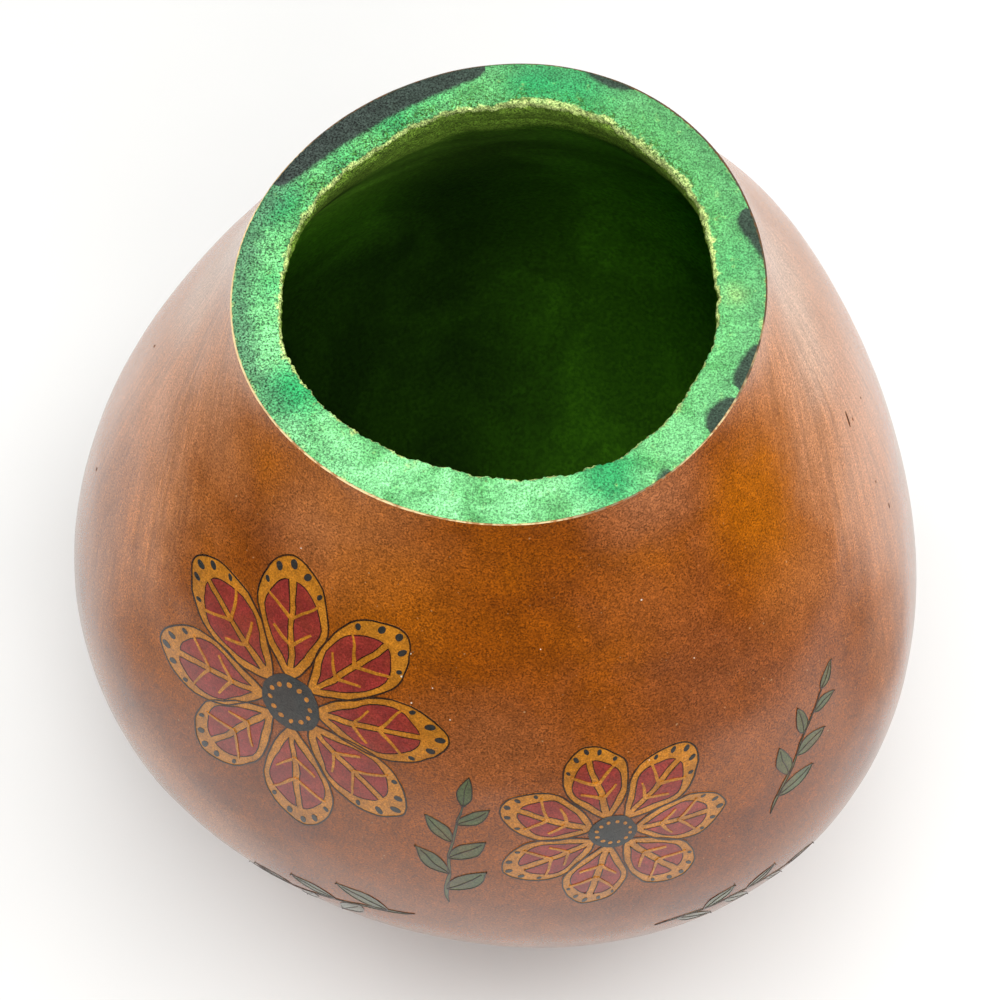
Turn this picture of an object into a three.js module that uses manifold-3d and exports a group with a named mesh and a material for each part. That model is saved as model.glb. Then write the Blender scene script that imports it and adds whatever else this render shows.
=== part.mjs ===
// A hardshell gourd vase: a pear-shaped gourd, sawn open across its neck, emptied and painted.
// Millimetres, +Z up. It stands on its flat underside, with the origin under the middle of the belly,
// and its mouth leans a little towards the front, -Y.
import * as THREE from "three";
import { mergeVertices } from "three/addons/utils/BufferGeometryUtils.js";
import Module from "manifold-3d";

// Outline of half the gourd, from the underside up to the mouth
const BASE_RADIUS = 40; // flat that is sanded on the underside
const BASE_FLARE = 31; // how far the curve runs on level past that flat
const BELLY_RADIUS = 100;
const BELLY_HEIGHT = 76;
const BELLY_DROP = 30; // how far the belly runs on upright, downwards
const BELLY_RISE = 48; // and upwards
const MOUTH_RADIUS = 51.5;
const MOUTH_HEIGHT = 188;
const SHOULDER_REACH = 25; // how far the shoulder runs straight on below the mouth
const SHOULDER_SLOPE = 20; // degrees from upright, where the saw meets it

// The saw cut
const MOUTH_LEAN = 4; // degrees that the cut falls towards the front
const NECK_STUB = 14; // neck above the cut, which the saw takes off

// Lobes of the natural form: a share of the radius, and the direction in degrees from +X
const BELLY_LOBES = { oval: 0.005, ovalFacing: 19, three: 0.029, threeFacing: 71 };
const MOUTH_LOBES = { oval: 0.017, ovalFacing: 49, three: 0.015, threeFacing: 63 };
const NECK_DRIFT_X = -2; // how far the neck has grown off the belly's middle
const NECK_DRIFT_Y = -1;

// Thickness of each layer of the wall, from the outside in, and the bond between two layers
const RIND_THICKNESS = 1.5;
const PITH_THICKNESS = 7;
const INTERIOR_COAT = 0.5;
const RIM_COAT = 0.5;
const BOND = 0.3;
const BARE_EDGE = 0.7; // rind left bare round the green edge of the mouth

// Scar of the flower, in a hole of the rind at the middle of the underside
const BLOSSOM_RADIUS = 5.5;
const BLOSSOM_RECESS = 0.4; // height above the table
const BLOSSOM_CROWN = 0.35; // hollow of its lower face

// Depths of the layers below the outer face
const PITH_DEPTH = RIND_THICKNESS + BOND;
const PITH_END = PITH_DEPTH + PITH_THICKNESS;
const INTERIOR_DEPTH = PITH_END + BOND;
const WALL = INTERIOR_DEPTH + INTERIOR_COAT;

// Facets
const SEGMENTS = 48; // round the gourd
const LOWER_STEPS = 8; // up the outline, from the flat to the belly
const UPPER_STEPS = 10; // from the belly to the mouth
const BUTTON_STEPS = 4;

const wasm = await Module();
wasm.setup();

// The outline's curves, in radius and height.
function outlineCurves() {
  const slope = THREE.MathUtils.degToRad(SHOULDER_SLOPE);
  const upShoulder = new THREE.Vector2(-Math.sin(slope), Math.cos(slope));
  const belly = new THREE.Vector2(BELLY_RADIUS, BELLY_HEIGHT);
  const mouth = new THREE.Vector2(MOUTH_RADIUS, MOUTH_HEIGHT);
  const lower = new THREE.CubicBezierCurve(
    new THREE.Vector2(BASE_RADIUS, 0),
    new THREE.Vector2(BASE_RADIUS + BASE_FLARE, 0),
    new THREE.Vector2(BELLY_RADIUS, BELLY_HEIGHT - BELLY_DROP),
    belly,
  );
  const upper = new THREE.CubicBezierCurve(
    belly,
    new THREE.Vector2(BELLY_RADIUS, BELLY_HEIGHT + BELLY_RISE),
    mouth.clone().addScaledVector(upShoulder, -SHOULDER_REACH),
    mouth,
  );
  const stub = new THREE.LineCurve(mouth, mouth.clone().addScaledVector(upShoulder, NECK_STUB));
  return [
    { curve: lower, steps: LOWER_STEPS },
    { curve: upper, steps: UPPER_STEPS },
    { curve: stub, steps: 1 },
  ];
}

// The outline at a depth below the outer face, from the flat's edge up to the end of the stub.
function outlineAt(depth) {
  const points = [];
  for (const { curve, steps } of outlineCurves()) {
    for (let i = points.length ? 1 : 0; i <= steps; i++) {
      const along = curve.getTangent(i / steps);
      const inward = new THREE.Vector2(-along.y, along.x);
      points.push(curve.getPoint(i / steps).addScaledVector(inward, depth));
    }
  }
  return points;
}

// One layer of the wall between two depths, with a round hole in its underside where a radius is given.
function layer(outerDepth, innerDepth, holeRadius = 0) {
  const profile = [
    new THREE.Vector2(holeRadius, outerDepth),
    ...outlineAt(outerDepth),
    ...outlineAt(innerDepth).reverse(),
    new THREE.Vector2(holeRadius, innerDepth),
  ];
  if (holeRadius) profile.push(profile[0].clone());
  return grow(new THREE.LatheGeometry(profile, SEGMENTS).rotateX(Math.PI / 2));
}

// How far the radius swells in one direction, as a share.
function swell(lobes, angle) {
  const oval = angle - THREE.MathUtils.degToRad(lobes.ovalFacing);
  const three = angle - THREE.MathUtils.degToRad(lobes.threeFacing);
  return lobes.oval * Math.cos(2 * oval) + lobes.three * Math.cos(3 * three);
}

// Gives a turned form the gourd's own lobes, and the drift of its neck.
function grow(turned) {
  const places = turned.getAttribute("position");
  const place = new THREE.Vector3();
  for (let i = 0; i < places.count; i++) {
    place.fromBufferAttribute(places, i);
    const angle = Math.atan2(place.y, place.x);
    const share = THREE.MathUtils.smoothstep(place.z, BELLY_HEIGHT, MOUTH_HEIGHT);
    const factor = 1 + THREE.MathUtils.lerp(swell(BELLY_LOBES, angle), swell(MOUTH_LOBES, angle), share);
    const drift = place.z / MOUTH_HEIGHT;
    places.setXYZ(i, place.x * factor + NECK_DRIFT_X * drift, place.y * factor + NECK_DRIFT_Y * drift, place.z);
  }
  return turned;
}

// A slab that lies on the plane of the saw cut, from one height above it to another.
function slabOnCut(from, to) {
  const side = 4 * BELLY_RADIUS;
  return new THREE.BoxGeometry(side, side, to - from)
    .translate(0, 0, (from + to) / 2)
    .rotateX(THREE.MathUtils.degToRad(MOUTH_LEAN))
    .translate(0, 0, MOUTH_HEIGHT);
}

function solidOf(geometry) {
  const bare = geometry.clone();
  bare.deleteAttribute("normal");
  bare.deleteAttribute("uv");
  const merged = mergeVertices(bare);
  const vertProperties = new Float32Array(merged.getAttribute("position").array);
  const triVerts = new Uint32Array(merged.index.array);
  return new wasm.Manifold(new wasm.Mesh({ numProp: 3, vertProperties, triVerts }));
}

function geometryOf(solid) {
  const { vertProperties, triVerts } = solid.getMesh();
  const geometry = new THREE.BufferGeometry();
  geometry.setAttribute("position", new THREE.BufferAttribute(vertProperties, 3));
  geometry.setIndex(new THREE.BufferAttribute(triVerts, 1));
  geometry.computeVertexNormals();
  return geometry;
}

// Saws a layer off at the mouth.
function sawn(geometry) {
  return geometryOf(solidOf(geometry).subtract(solidOf(slabOnCut(0, MOUTH_HEIGHT))));
}

function rindGeometry() {
  return sawn(layer(0, RIND_THICKNESS, BLOSSOM_RADIUS + BOND));
}

function pithGeometry() {
  return sawn(layer(PITH_DEPTH, PITH_END));
}

function interiorGeometry() {
  return sawn(layer(INTERIOR_DEPTH, WALL));
}

// The green coat on the sawn face: the wall as it went on above the cut, in one thin slice.
function rimGeometry() {
  const wallAbove = solidOf(layer(BARE_EDGE, WALL));
  return geometryOf(wallAbove.intersect(solidOf(slabOnCut(BOND, BOND + RIM_COAT))));
}

// A shallow corky button, hollow below like a worn scar.
function blossomGeometry() {
  const profile = [];
  for (let i = 0; i <= BUTTON_STEPS; i++) {
    const share = i / BUTTON_STEPS;
    const hollow = BLOSSOM_CROWN * Math.cos((share * Math.PI) / 2) ** 2;
    profile.push(new THREE.Vector2(share * BLOSSOM_RADIUS, BLOSSOM_RECESS + hollow));
  }
  profile.push(new THREE.Vector2(BLOSSOM_RADIUS, RIND_THICKNESS), new THREE.Vector2(0, RIND_THICKNESS));
  return grow(new THREE.LatheGeometry(profile, SEGMENTS).rotateX(Math.PI / 2));
}

function piece(name, geometry, color, roughness) {
  const mesh = new THREE.Mesh(geometry, new THREE.MeshStandardMaterial({ color, roughness, metalness: 0 }));
  mesh.name = name;
  return mesh;
}

const vase = new THREE.Group();
vase.add(
  piece("gourd_rind", rindGeometry(), "#b5672f", 0.4),
  piece("pith_wall", pithGeometry(), "#cfc58a", 0.95),
  piece("rim_paint", rimGeometry(), "#5fcb85", 0.8),
  piece("interior_paint", interiorGeometry(), "#1f3d10", 0.85),
  piece("blossom_button", blossomGeometry(), "#6b4a2c", 0.9),
);

// The lobes put the belly's middle off the turning axis, so the whole vase moves back over the origin.
const middle = new THREE.Box3().setFromObject(vase).getCenter(new THREE.Vector3());
vase.children.forEach((mesh) => mesh.position.set(-middle.x, -middle.y, 0));

export default vase;
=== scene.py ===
import math
import random
from contextlib import contextmanager

import bmesh
import bpy
import numpy as np
from bpy.props import FloatProperty, FloatVectorProperty, IntProperty, PointerProperty
from mathutils import Matrix, Vector


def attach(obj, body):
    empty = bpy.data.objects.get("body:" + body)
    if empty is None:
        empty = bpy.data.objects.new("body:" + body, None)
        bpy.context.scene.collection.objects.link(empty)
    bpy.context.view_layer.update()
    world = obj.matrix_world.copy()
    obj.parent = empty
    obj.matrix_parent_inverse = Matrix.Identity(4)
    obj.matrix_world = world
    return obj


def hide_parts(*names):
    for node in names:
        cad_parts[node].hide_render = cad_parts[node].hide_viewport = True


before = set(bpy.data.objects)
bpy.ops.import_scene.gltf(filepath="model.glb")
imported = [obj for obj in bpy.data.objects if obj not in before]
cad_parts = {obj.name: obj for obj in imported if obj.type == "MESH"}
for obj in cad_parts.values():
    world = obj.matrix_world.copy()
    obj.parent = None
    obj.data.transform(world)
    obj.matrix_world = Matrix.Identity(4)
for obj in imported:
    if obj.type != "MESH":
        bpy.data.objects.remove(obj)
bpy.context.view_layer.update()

bl_info = {
    "name": "Painted gourd vase",
    "version": (1, 0, 0),
    "blender": (4, 5, 0),
    "location": "View3D > Sidebar > Vase",
    "description": "Models a sawn, stained and painted gourd vase on its solid frame",
    "category": "Object",
}

MM = 0.001
BODY = "root"

# How finely the forms are turned
SKIN_STEPS = 240
INSIDE_STEPS = 160
PITH_STEPS = 96
RIM_STEPS = 720
SCAR_STEPS = 48
FLAT_RINGS = 8
LOWER_POINTS = 44
UPPER_POINTS = 52
SOLID_STEPS = 48  # steps round the solid vase, which set where its middle lies
MERGE = 0.001 * MM
POINT = 0.02 * MM  # flat shapes narrower than this end in a point
HOVER = 20 * MM  # height over its seat from which a flat pattern is laid on the skin
WAVER = 1.6 * MM  # how far the lines of a flat pattern waver

# Dark stains on the sawn edge: start and end in degrees from +X, how far they reach across the wall,
# where along them they reach farthest, and how slim their ends are
RIM_STAINS = (
    (93.5, 155.5, 0.55, 0.50, 0.33),
    (58, 71, 0.20, 0.45, 0.85),
    (3.5, 18, 0.33, 0.72, 0.55),
    (330.5, 343, 0.23, 0.35, 0.6),
    (318.5, 329, 0.29, 0.40, 0.7),
    (302.5, 307, 0.08, 0.6, 0.7),
)
# Swells and dents of the grown form: degrees from +X, their lower and upper end in millimetres over the
# table, how far round they spread, and how far they stand out, of the radius
FORM_SWELLS = (
    (38, 125, 195, 0.22, 0.026),
    (5, 65, 160, 0.2, -0.012),
)
# How much thinner the scraper left the wall at the mouth: degrees from +X, and millimetres
SCRAPED = (
    (0, -0.9), (20, 0), (42, -1.3), (70, -0.4), (90, -1.0), (102, -0.2),
    (130, -1.3), (155, -0.3), (190, -0.2), (203, 0.9), (220, 0.45), (232, 0),
    (258, -0.7), (281, 0.7), (300, 1.8), (318, 0.8), (340, 0.8), (350, 0.2),
)
SCRAPE_FADE = 55 * MM  # depth below the saw cut at which this has faded out
BULGE_SPREAD = 0.07  # how far round the one-sided lobes of the mouth reach

# Rubbed patches: middle and radius in millimetres, and strength. First the clouds of the dye
DEEP_PATCHES = (
    ((40, -71, 141), 12, 0.6),
    ((42, -63, 152), 9, 0.7),
    ((6, -74, 152), 14, 0.35),
    ((13, -58, 172), 8, 0.5),
    ((80, -46, 115), 9, 0.5),
    ((31, -46, 184), 4, 0.6),
)
MAUVE_PATCHES = (
    ((62, -61, 129), 17, 0.6),
    ((-22, -57, 172), 14, 0.3),
    ((30, -60, 163), 10, 0.55),
    ((22, -94, 118), 12, 0.65),
    ((40, -71, 141), 13, 0.6),
    ((5, -81, 139), 14, 0.45),
    ((29, -48, 182), 7, 0.9),
)
BRIGHT_PATCHES = (
    ((51, -34, 172), 9, 0.95),
    ((54, -41, 162), 10, 0.85),
    ((61, -45, 151), 12, 0.35),
    ((-43, -37, 177), 6, 0.8),
    ((-33, -43, 184), 6, 0.45),
    ((-57, -37, 160), 12, 0.5),
    ((-26, -50, 178), 12, 0.3),
    ((-22, -63, 165), 13, 0.6),
)
# Places where little dye took, partly painted sheen, the last three a painted reflection of the pale floor
# on the lower left flank; the palest places, which are painted sheen on the shoulders; and places on the
# pale flanks where the dye took better
THIN_DYE_AND_SHEEN_PATCHES = (
    ((-30, -48, 176), 14, 0.45),
    ((-54, -28, 171), 11, 0.7),
    ((29, -48, 182), 7, 0.25),
    ((-3, -81, 140), 9, 0.15),
    ((65, -43, 150), 11, 0.4),
    ((-46, -29, 183), 6, 0.5),
    ((60, -42, 154), 8, 0.2),
    # painted reflection of the pale floor on the lower left flank, in the colour of thin dye
    ((-90, -43, 94), 12, 0.45),
    ((-79, -63, 84), 14, 0.5),
    ((-64, -77, 77), 14, 0.5),
)
# Painted sheen on the shoulders
SHEEN_PATCHES = (
    ((57, 5, 176), 11, 0.7),
    ((62, -7, 168), 9, 0.7),
    ((-52, 12, 180), 12, 0.8),
    ((-61, 8, 168), 9, 0.6),
)
DYED_PATCHES = (
    ((73, -45, 132), 14, 0.65),
    ((-82, -20, 132), 17, 0.4),
    ((-75, -49, 122), 13, 0.7),
)
# Bluish and yellowish places of the green paint on the sawn edge
TEAL_PATCHES = (
    ((8, 44, 191), 5, 0.85),
    ((18, 43, 191), 5, 0.7),
    ((-14, 46, 191), 5, 0.85),
    ((-21, 35, 191), 5, 0.6),
    ((-30, 25, 190), 4, 0.5),
    ((47, 1, 188), 4, 0.35),
    ((-43, 14, 189), 5, 0.85),
    ((-43.5, -5, 188), 3, 0.6),
    ((-38, -28, 186), 5, 0.85),
    ((20, -45, 185), 5, 0.85),
)
YELLOW_PATCHES = (((46.5, -6.5, 188), 2, 0.35),)
# Places where dye ran into the cut edge of the rind, and where the varnish is worn
DYED_EDGES = (((24, -48, 185), 11, 0.75),)
WORN_PATCHES = (
    ((82, -46, 112), 15, 0.6),
    ((-75, -49, 121), 12, 0.5),
    ((72, -47, 132), 9, 0.55),
)

# Where the painted motifs sit: degrees from +X and millimetres over the table
LARGE_FLOWER_SEAT = (-122, 137)
SMALL_FLOWER_SEAT = (-76, 117)
# Leaf sprays: the same, then the way that the stem points, in degrees from upright, its bend in
# millimetres and its share of the full size
SPRAYS = (
    (-97.5, 92, 2, 4, 0.75),
    (-71, 74, -83, 6, 0.72),
    (-102, 81, 104, -8, 0.85),
    (-55, 104, -34, 5, 0.65),
)
# Tiny pale drops in the varnish and dark nicks, by the same two numbers, and their width and length
DROPS = (
    (-106, 152, 0.42, 0.42), (-105, 157, 0.3, 0.34), (-101, 151, 0.26, 0.3), (-104, 147, 0.34, 0.38),
    (-98, 145, 0.3, 0.26), (-66, 165, 0.4, 0.34), (-84, 160, 0.26, 0.24), (-60, 150, 0.3, 0.26),
    (-70, 133, 0.26, 0.26), (-128, 168, 0.3, 0.26),
)
NICKS = (
    (-8.7, 152, 0.55, 3.7), (-7.6, 150, 0.3, 0.8), (-12, 136, 0.4, 0.6), (-1.5, 146, 0.3, 0.5),
    (173, 149, 0.5, 0.7), (-175.6, 124, 0.45, 1.0), (-12, 127, 0.35, 1.2),
)
# Height of each layer of paint over the skin, in millimetres
LAYER_LIFT = {
    "petals": 0.05,
    "leaves": 0.05,
    "panels": 0.09,
    "dots": 0.12,
    "lines": 0.14,
    "hearts": 0.19,
    "veins": 0.23,
}


def length(name, description, millimetres):
    return FloatProperty(
        name=name, description=description, default=millimetres * MM, unit="LENGTH", precision=5
    )


def angle(name, description, degrees):
    return FloatProperty(
        name=name, description=description, default=math.radians(degrees), subtype="ANGLE"
    )


def share(name, description, value):
    return FloatProperty(name=name, description=description, default=value, precision=4)


def linear(level):
    """A display level from 0 to 255 as linear light."""
    level = level / 255
    return level / 12.92 if level <= 0.04045 else ((level + 0.055) / 1.055) ** 2.4


def colour(name, description, red, green, blue):
    return FloatVectorProperty(
        name=name,
        description=description,
        default=(linear(red), linear(green), linear(blue), 1),
        size=4,
        min=0,
        max=1,
        subtype="COLOR",
    )


class VaseSizes(bpy.types.PropertyGroup):
    """Sizes of the gourd, its cut and its layers."""

    base_radius: length("Base radius", "Flat that is sanded on the underside", 40)
    base_flare: length("Base flare", "How far the curve runs on level past that flat", 31)
    belly_radius: length("Belly radius", "Widest part of the outline", 100)
    belly_height: length("Belly height", "Height of the widest part", 76)
    belly_drop: length("Belly drop", "How far the belly runs on upright, downwards", 30)
    belly_rise: length("Belly rise", "How far the belly runs on upright, upwards", 48)
    mouth_radius: length("Mouth radius", "Outline where the saw cuts it", 51.5)
    mouth_height: length("Mouth height", "Height of the cut on the axis", 188)
    shoulder_reach: length("Shoulder reach", "Straight run of the shoulder below the mouth", 25)
    shoulder_slope: angle("Shoulder slope", "From upright, at the mouth", 20)
    mouth_lean: angle("Mouth lean", "Fall of the cut towards the front", 4)
    neck_stub: length("Neck stub", "Neck above the cut, which the saw takes off", 14)
    belly_oval: share("Belly oval", "Two-sided lobe of the belly, of its radius", 0.005)
    belly_oval_facing: angle("Belly oval facing", "Its direction from +X", 19)
    belly_three: share("Belly three", "Three-sided lobe of the belly, of its radius", 0.029)
    belly_three_facing: angle("Belly three facing", "Its direction from +X", 71)
    mouth_oval: share("Mouth oval", "Two-sided lobe of the mouth, of its radius", 0.017)
    mouth_oval_facing: angle("Mouth oval facing", "Its direction from +X", 49)
    mouth_three: share("Mouth three", "Three-sided lobe of the mouth, of its radius", 0.015)
    mouth_three_facing: angle("Mouth three facing", "Its direction from +X", 63)
    mouth_swell: share("Mouth swell", "How much wider the mouth is all round, of its radius", 0.006)
    right_bulge: share("Right bulge", "One-sided lobe of the mouth, of its radius", 0.013)
    right_bulge_facing: angle("Right bulge facing", "Its direction from +X", -3)
    left_bulge: share("Left bulge", "One-sided lobe of the mouth, of its radius", 0.009)
    left_bulge_facing: angle("Left bulge facing", "Its direction from +X", 205)
    neck_drift_x: length("Neck drift X", "How far the neck has grown off the belly's middle", -2)
    neck_drift_y: length("Neck drift Y", "How far the neck has grown off the belly's middle", -1)
    rind_thickness: length("Rind", "Hard outer skin", 1.5)
    wall: length("Wall", "All layers of the wall together", 9.6)
    inside_coat: length("Inside coat", "Paint on the inside", 0.5)
    bare_edge: length("Bare edge", "Rind left bare round the green edge", 0.28)
    blossom_radius: length("Blossom radius", "Scar of the flower on the underside", 5.5)
    blossom_recess: length("Blossom recess", "Its height above the table", 0.4)
    bond: length("Bond", "Gap round the scar", 0.3)
    swells: length("Swells", "Slow unevenness of the skin", 0.5)
    pores: length("Pores", "Depth of the pores in the sawn edge", 0.32)
    crumbs: length("Crumbs", "Raggedness of the inner edge", 1.3)


class DesignSizes(bpy.types.PropertyGroup):
    """Sizes of the painted motifs."""

    large_radius: length("Large flower", "From its middle to a petal's tip", 34)
    large_petals: IntProperty(name="Large flower petals", description="How many", default=8)
    small_radius: length("Small flower", "From its middle to a petal's tip", 25)
    small_petals: IntProperty(name="Small flower petals", description="How many", default=7)
    heart: share("Heart", "Radius of the dark middle, of the flower's", 0.2)
    petal_width: share("Petal width", "Half a petal's width, of the flower's radius", 0.24)
    border: length("Border", "Ochre left round the red panels", 1.5)
    vein: length("Vein", "Ochre left between two panels", 1.3)
    line: length("Line", "Burnt outline", 0.36)
    dot: length("Dot", "Half a dot's length", 1.1)
    stem: length("Stem", "Length of a leaf spray", 46)
    leaf: length("Leaf", "Length of a leaf", 17)
    leaf_width: length("Leaf width", "Half a leaf's width", 3.6)
    paint: length("Paint", "Thickness of the painted motifs", 0.25)


class VaseColours(bpy.types.PropertyGroup):
    """Colours of the stain and the paints."""

    stain: colour("Stain", "Orange-brown leather dye", 141, 72, 5)
    stain_deep: colour("Deep stain", "Darker clouds of the dye", 115, 53, 5)
    stain_bright: colour("Bright stain", "Orange patches", 165, 90, 1)
    stain_mauve: colour("Mauve stain", "Reddish clouds", 140, 79, 42)
    # The thin stain is partly thin dye and partly painted sheen and painted reflection
    stain_thin_and_sheen: colour("Thin stain", "Pale shoulders where little dye took", 198, 136, 94)
    # Painted sheen: the palest places of the shoulders
    sheen_pale: colour("Painted sheen", "Palest places of the shoulders", 208, 170, 144)
    stain_tan: colour("Tan stain", "Warm flanks below the pale shoulders", 196, 124, 70)
    bare_cream: colour("Bare rind", "Cut edge of the rind", 214, 190, 140)
    bare_dark: colour("Dark edge", "Cut edge where dye ran into it", 70, 62, 44)
    pith: colour("Pith", "Raw inner wall", 206, 196, 150)
    rim: colour("Rim", "Green of the sawn edge", 80, 152, 86)
    rim_mint: colour("Mint", "Lighter green of the sawn edge", 128, 208, 138)
    rim_teal: colour("Teal", "Bluish green of the sawn edge", 22, 140, 80)
    rim_yellow: colour("Yellow-green", "Crumbly inner edge", 186, 206, 124)
    rim_grey: colour("Grey green", "Worn outer part of the sawn edge", 70, 112, 82)
    rim_stain: colour("Rim stain", "Grey stains on the sawn edge", 45, 52, 49)
    inside: colour("Inside", "Dark green of the inside", 52, 96, 14)
    inside_olive: colour("Olive", "Upper band of the inside", 126, 162, 58)
    cork: colour("Cork", "Scar of the flower", 107, 74, 44)
    red: colour("Red", "Panels of the petals", 140, 46, 40)
    ochre: colour("Ochre", "Petals", 184, 118, 30)
    charcoal: colour("Charcoal", "Hearts and dots", 44, 46, 44)
    leaf: colour("Leaf", "Green of the leaves", 78, 88, 52)
    burnt: colour("Burnt", "Burnt lines", 48, 30, 16)
    floor: colour("Floor", "Pale floor", 238, 238, 236)


def smooth_step(value):
    value = np.clip(value, 0, 1)
    return value * value * (3 - 2 * value)


def curve_points(corners, steps):
    """Points and unit tangents along a cubic curve."""
    a, b, c, d = (np.asarray(corner, float) for corner in corners)
    t = np.linspace(0, 1, steps + 1)[:, None]
    points = (1 - t) ** 3 * a + 3 * (1 - t) ** 2 * t * b + 3 * (1 - t) * t ** 2 * c + t ** 3 * d
    along = (1 - t) ** 2 * (b - a) + 2 * (1 - t) * t * (c - b) + t ** 2 * (d - c)
    return points, along / np.linalg.norm(along, axis=1)[:, None]


class GourdShape:
    """The grown form: an outline that is turned, given its lobes and sawn off."""

    def __init__(self, sizes):
        self.sizes = sizes
        self.swells = ()
        self.middle = np.zeros(2)
        angles = np.arange(SOLID_STEPS) * 2 * math.pi / SOLID_STEPS
        radius, height = self.outline(0).T[:, :, None]
        ring = np.stack(np.broadcast_arrays(radius * np.cos(angles), radius * np.sin(angles), height), -1)
        grown = self.grow(ring.reshape(-1, 3))[:, :2]
        self.middle = (grown.min(0) + grown.max(0)) / 2
        self.swells = FORM_SWELLS
        self.cut_point = np.array((*-self.middle, sizes.mouth_height))
        self.cut_normal = np.array((0, -math.sin(sizes.mouth_lean), math.cos(sizes.mouth_lean)))

    def outline(self, depth):
        """Radius and height of the outline at a depth below the outer face, from the flat to the stub."""
        s = self.sizes
        up_shoulder = np.array((-math.sin(s.shoulder_slope), math.cos(s.shoulder_slope)))
        belly = np.array((s.belly_radius, s.belly_height))
        mouth = np.array((s.mouth_radius, s.mouth_height))
        flat_end = (s.base_radius + s.base_flare, 0)
        lower = ((s.base_radius, 0), flat_end, belly - (0, s.belly_drop), belly)
        upper = (belly, belly + (0, s.belly_rise), mouth - up_shoulder * s.shoulder_reach, mouth)
        low_points, low_along = curve_points(lower, LOWER_POINTS)
        high_points, high_along = curve_points(upper, UPPER_POINTS)
        stub = mouth + up_shoulder * s.neck_stub
        points = np.vstack((low_points, high_points[1:], stub))
        along = np.vstack((low_along, high_along[1:], up_shoulder))
        return points + depth * np.stack((-along[:, 1], along[:, 0]), 1)

    def grow(self, points):
        """Gives turned points the gourd's lobes, the drift of its neck and its place over the origin."""
        s = self.sizes
        facing = np.arctan2(points[:, 1], points[:, 0])
        height = points[:, 2]
        rise = smooth_step((height - s.belly_height) / (s.mouth_height - s.belly_height))
        belly = s.belly_oval * np.cos(2 * (facing - s.belly_oval_facing))
        belly = belly + s.belly_three * np.cos(3 * (facing - s.belly_three_facing))
        mouth = s.mouth_oval * np.cos(2 * (facing - s.mouth_oval_facing))
        mouth = mouth + s.mouth_three * np.cos(3 * (facing - s.mouth_three_facing))
        mouth = mouth + s.mouth_swell
        for bulge, bulge_facing in (
            (s.right_bulge, s.right_bulge_facing),
            (s.left_bulge, s.left_bulge_facing),
        ):
            mouth = mouth + bulge * np.exp((np.cos(facing - bulge_facing) - 1) / BULGE_SPREAD)
        factor = 1 + (1 - rise) * belly + rise * mouth
        for degrees, low, high, spread, swell in self.swells:
            part = np.clip((height / MM - low) / (high - low), 0, 1)
            beside = (np.cos(facing - math.radians(degrees)) - 1) / spread
            factor = factor + swell * np.sin(math.pi * part) ** 2 * np.exp(beside)
        drift = height / s.mouth_height
        x = points[:, 0] * factor + s.neck_drift_x * drift - self.middle[0]
        y = points[:, 1] * factor + s.neck_drift_y * drift - self.middle[1]
        return np.stack((x, y, height), 1)

    def on_outline(self, facing, height, outline):
        """Grown points of an outline, in these directions and at these heights."""
        radius = np.interp(height, outline[:, 1], outline[:, 0])
        return self.grow(np.stack((radius * np.cos(facing), radius * np.sin(facing), height), 1))

    def on_wall(self, facing, depth, above):
        """Points in these directions, at a depth in the wall and a height over the saw cut."""
        outline = self.outline(depth)
        height = np.full(len(facing), self.sizes.mouth_height + above)
        for _ in range(8):
            over = (self.on_outline(facing, height, outline) - self.cut_point) @ self.cut_normal
            height = height + above - over
        return self.on_outline(facing, height, outline)

    def scrape(self, points, weight=1.0):
        """Moves grown points of the inner face out to where the scraper left it, near the mouth."""
        facing = np.arctan2(points[:, 1], points[:, 0])
        degrees, thinner = np.array(SCRAPED).T
        below = (self.cut_point - points) @ self.cut_normal
        amount = np.interp(np.degrees(facing), degrees, thinner, period=360) * MM
        amount = amount * weight * smooth_step(1 - below / SCRAPE_FADE)
        return points + np.stack((amount * np.cos(facing), amount * np.sin(facing), 0 * amount), 1)

    def seat(self, degrees, millimetres):
        """Frame on the outer face: X to the right, Y up the face and Z out of it."""
        outline = self.outline(0)
        facing = math.radians(degrees) + np.array((0, 0.01, 0))
        height = millimetres * MM + np.array((0, 0, MM))
        here, beside, above = (Vector(p) for p in self.on_outline(facing, height, outline))
        right = (beside - here).normalized()
        out = right.cross(above - here).normalized()
        turned_frame = Matrix((right, out.cross(right), out)).transposed().to_4x4()
        return Matrix.Translation(here) @ turned_frame


# Hand tools: each does what its operators do in the 3D view

def pick(*objects):
    """Leaves only these objects selected, with the last one active."""
    bpy.ops.object.select_all(action="DESELECT")
    for obj in objects:
        obj.select_set(True)
    bpy.context.view_layer.objects.active = objects[-1]


def started(name):
    """The primitive that was just added, under its name."""
    obj = bpy.context.object
    obj.name = obj.data.name = name
    return obj


@contextmanager
def editing(obj):
    pick(obj)
    bpy.ops.object.mode_set(mode="EDIT")
    yield
    bpy.ops.object.mode_set(mode="OBJECT")


def select(obj, kind, wanted):
    """Selects the vertices, edges or faces that wanted says yes to, in edit mode."""
    bpy.ops.mesh.select_mode(type=kind)
    bpy.ops.mesh.select_all(action="DESELECT")
    mesh = bmesh.from_edit_mesh(obj.data)
    mesh.verts.index_update()
    for item in {"VERT": mesh.verts, "EDGE": mesh.edges, "FACE": mesh.faces}[kind]:
        if wanted(item):
            item.select_set(True)
    mesh.select_flush_mode()
    bmesh.update_edit_mesh(obj.data)


def finished(obj, kind, **settings):
    """Adds a modifier and applies it."""
    pick(obj)
    modifier = obj.modifiers.new(kind.title(), kind)
    for name, value in settings.items():
        setattr(modifier, name, value)
    bpy.ops.object.modifier_apply(modifier=modifier.name)


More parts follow.
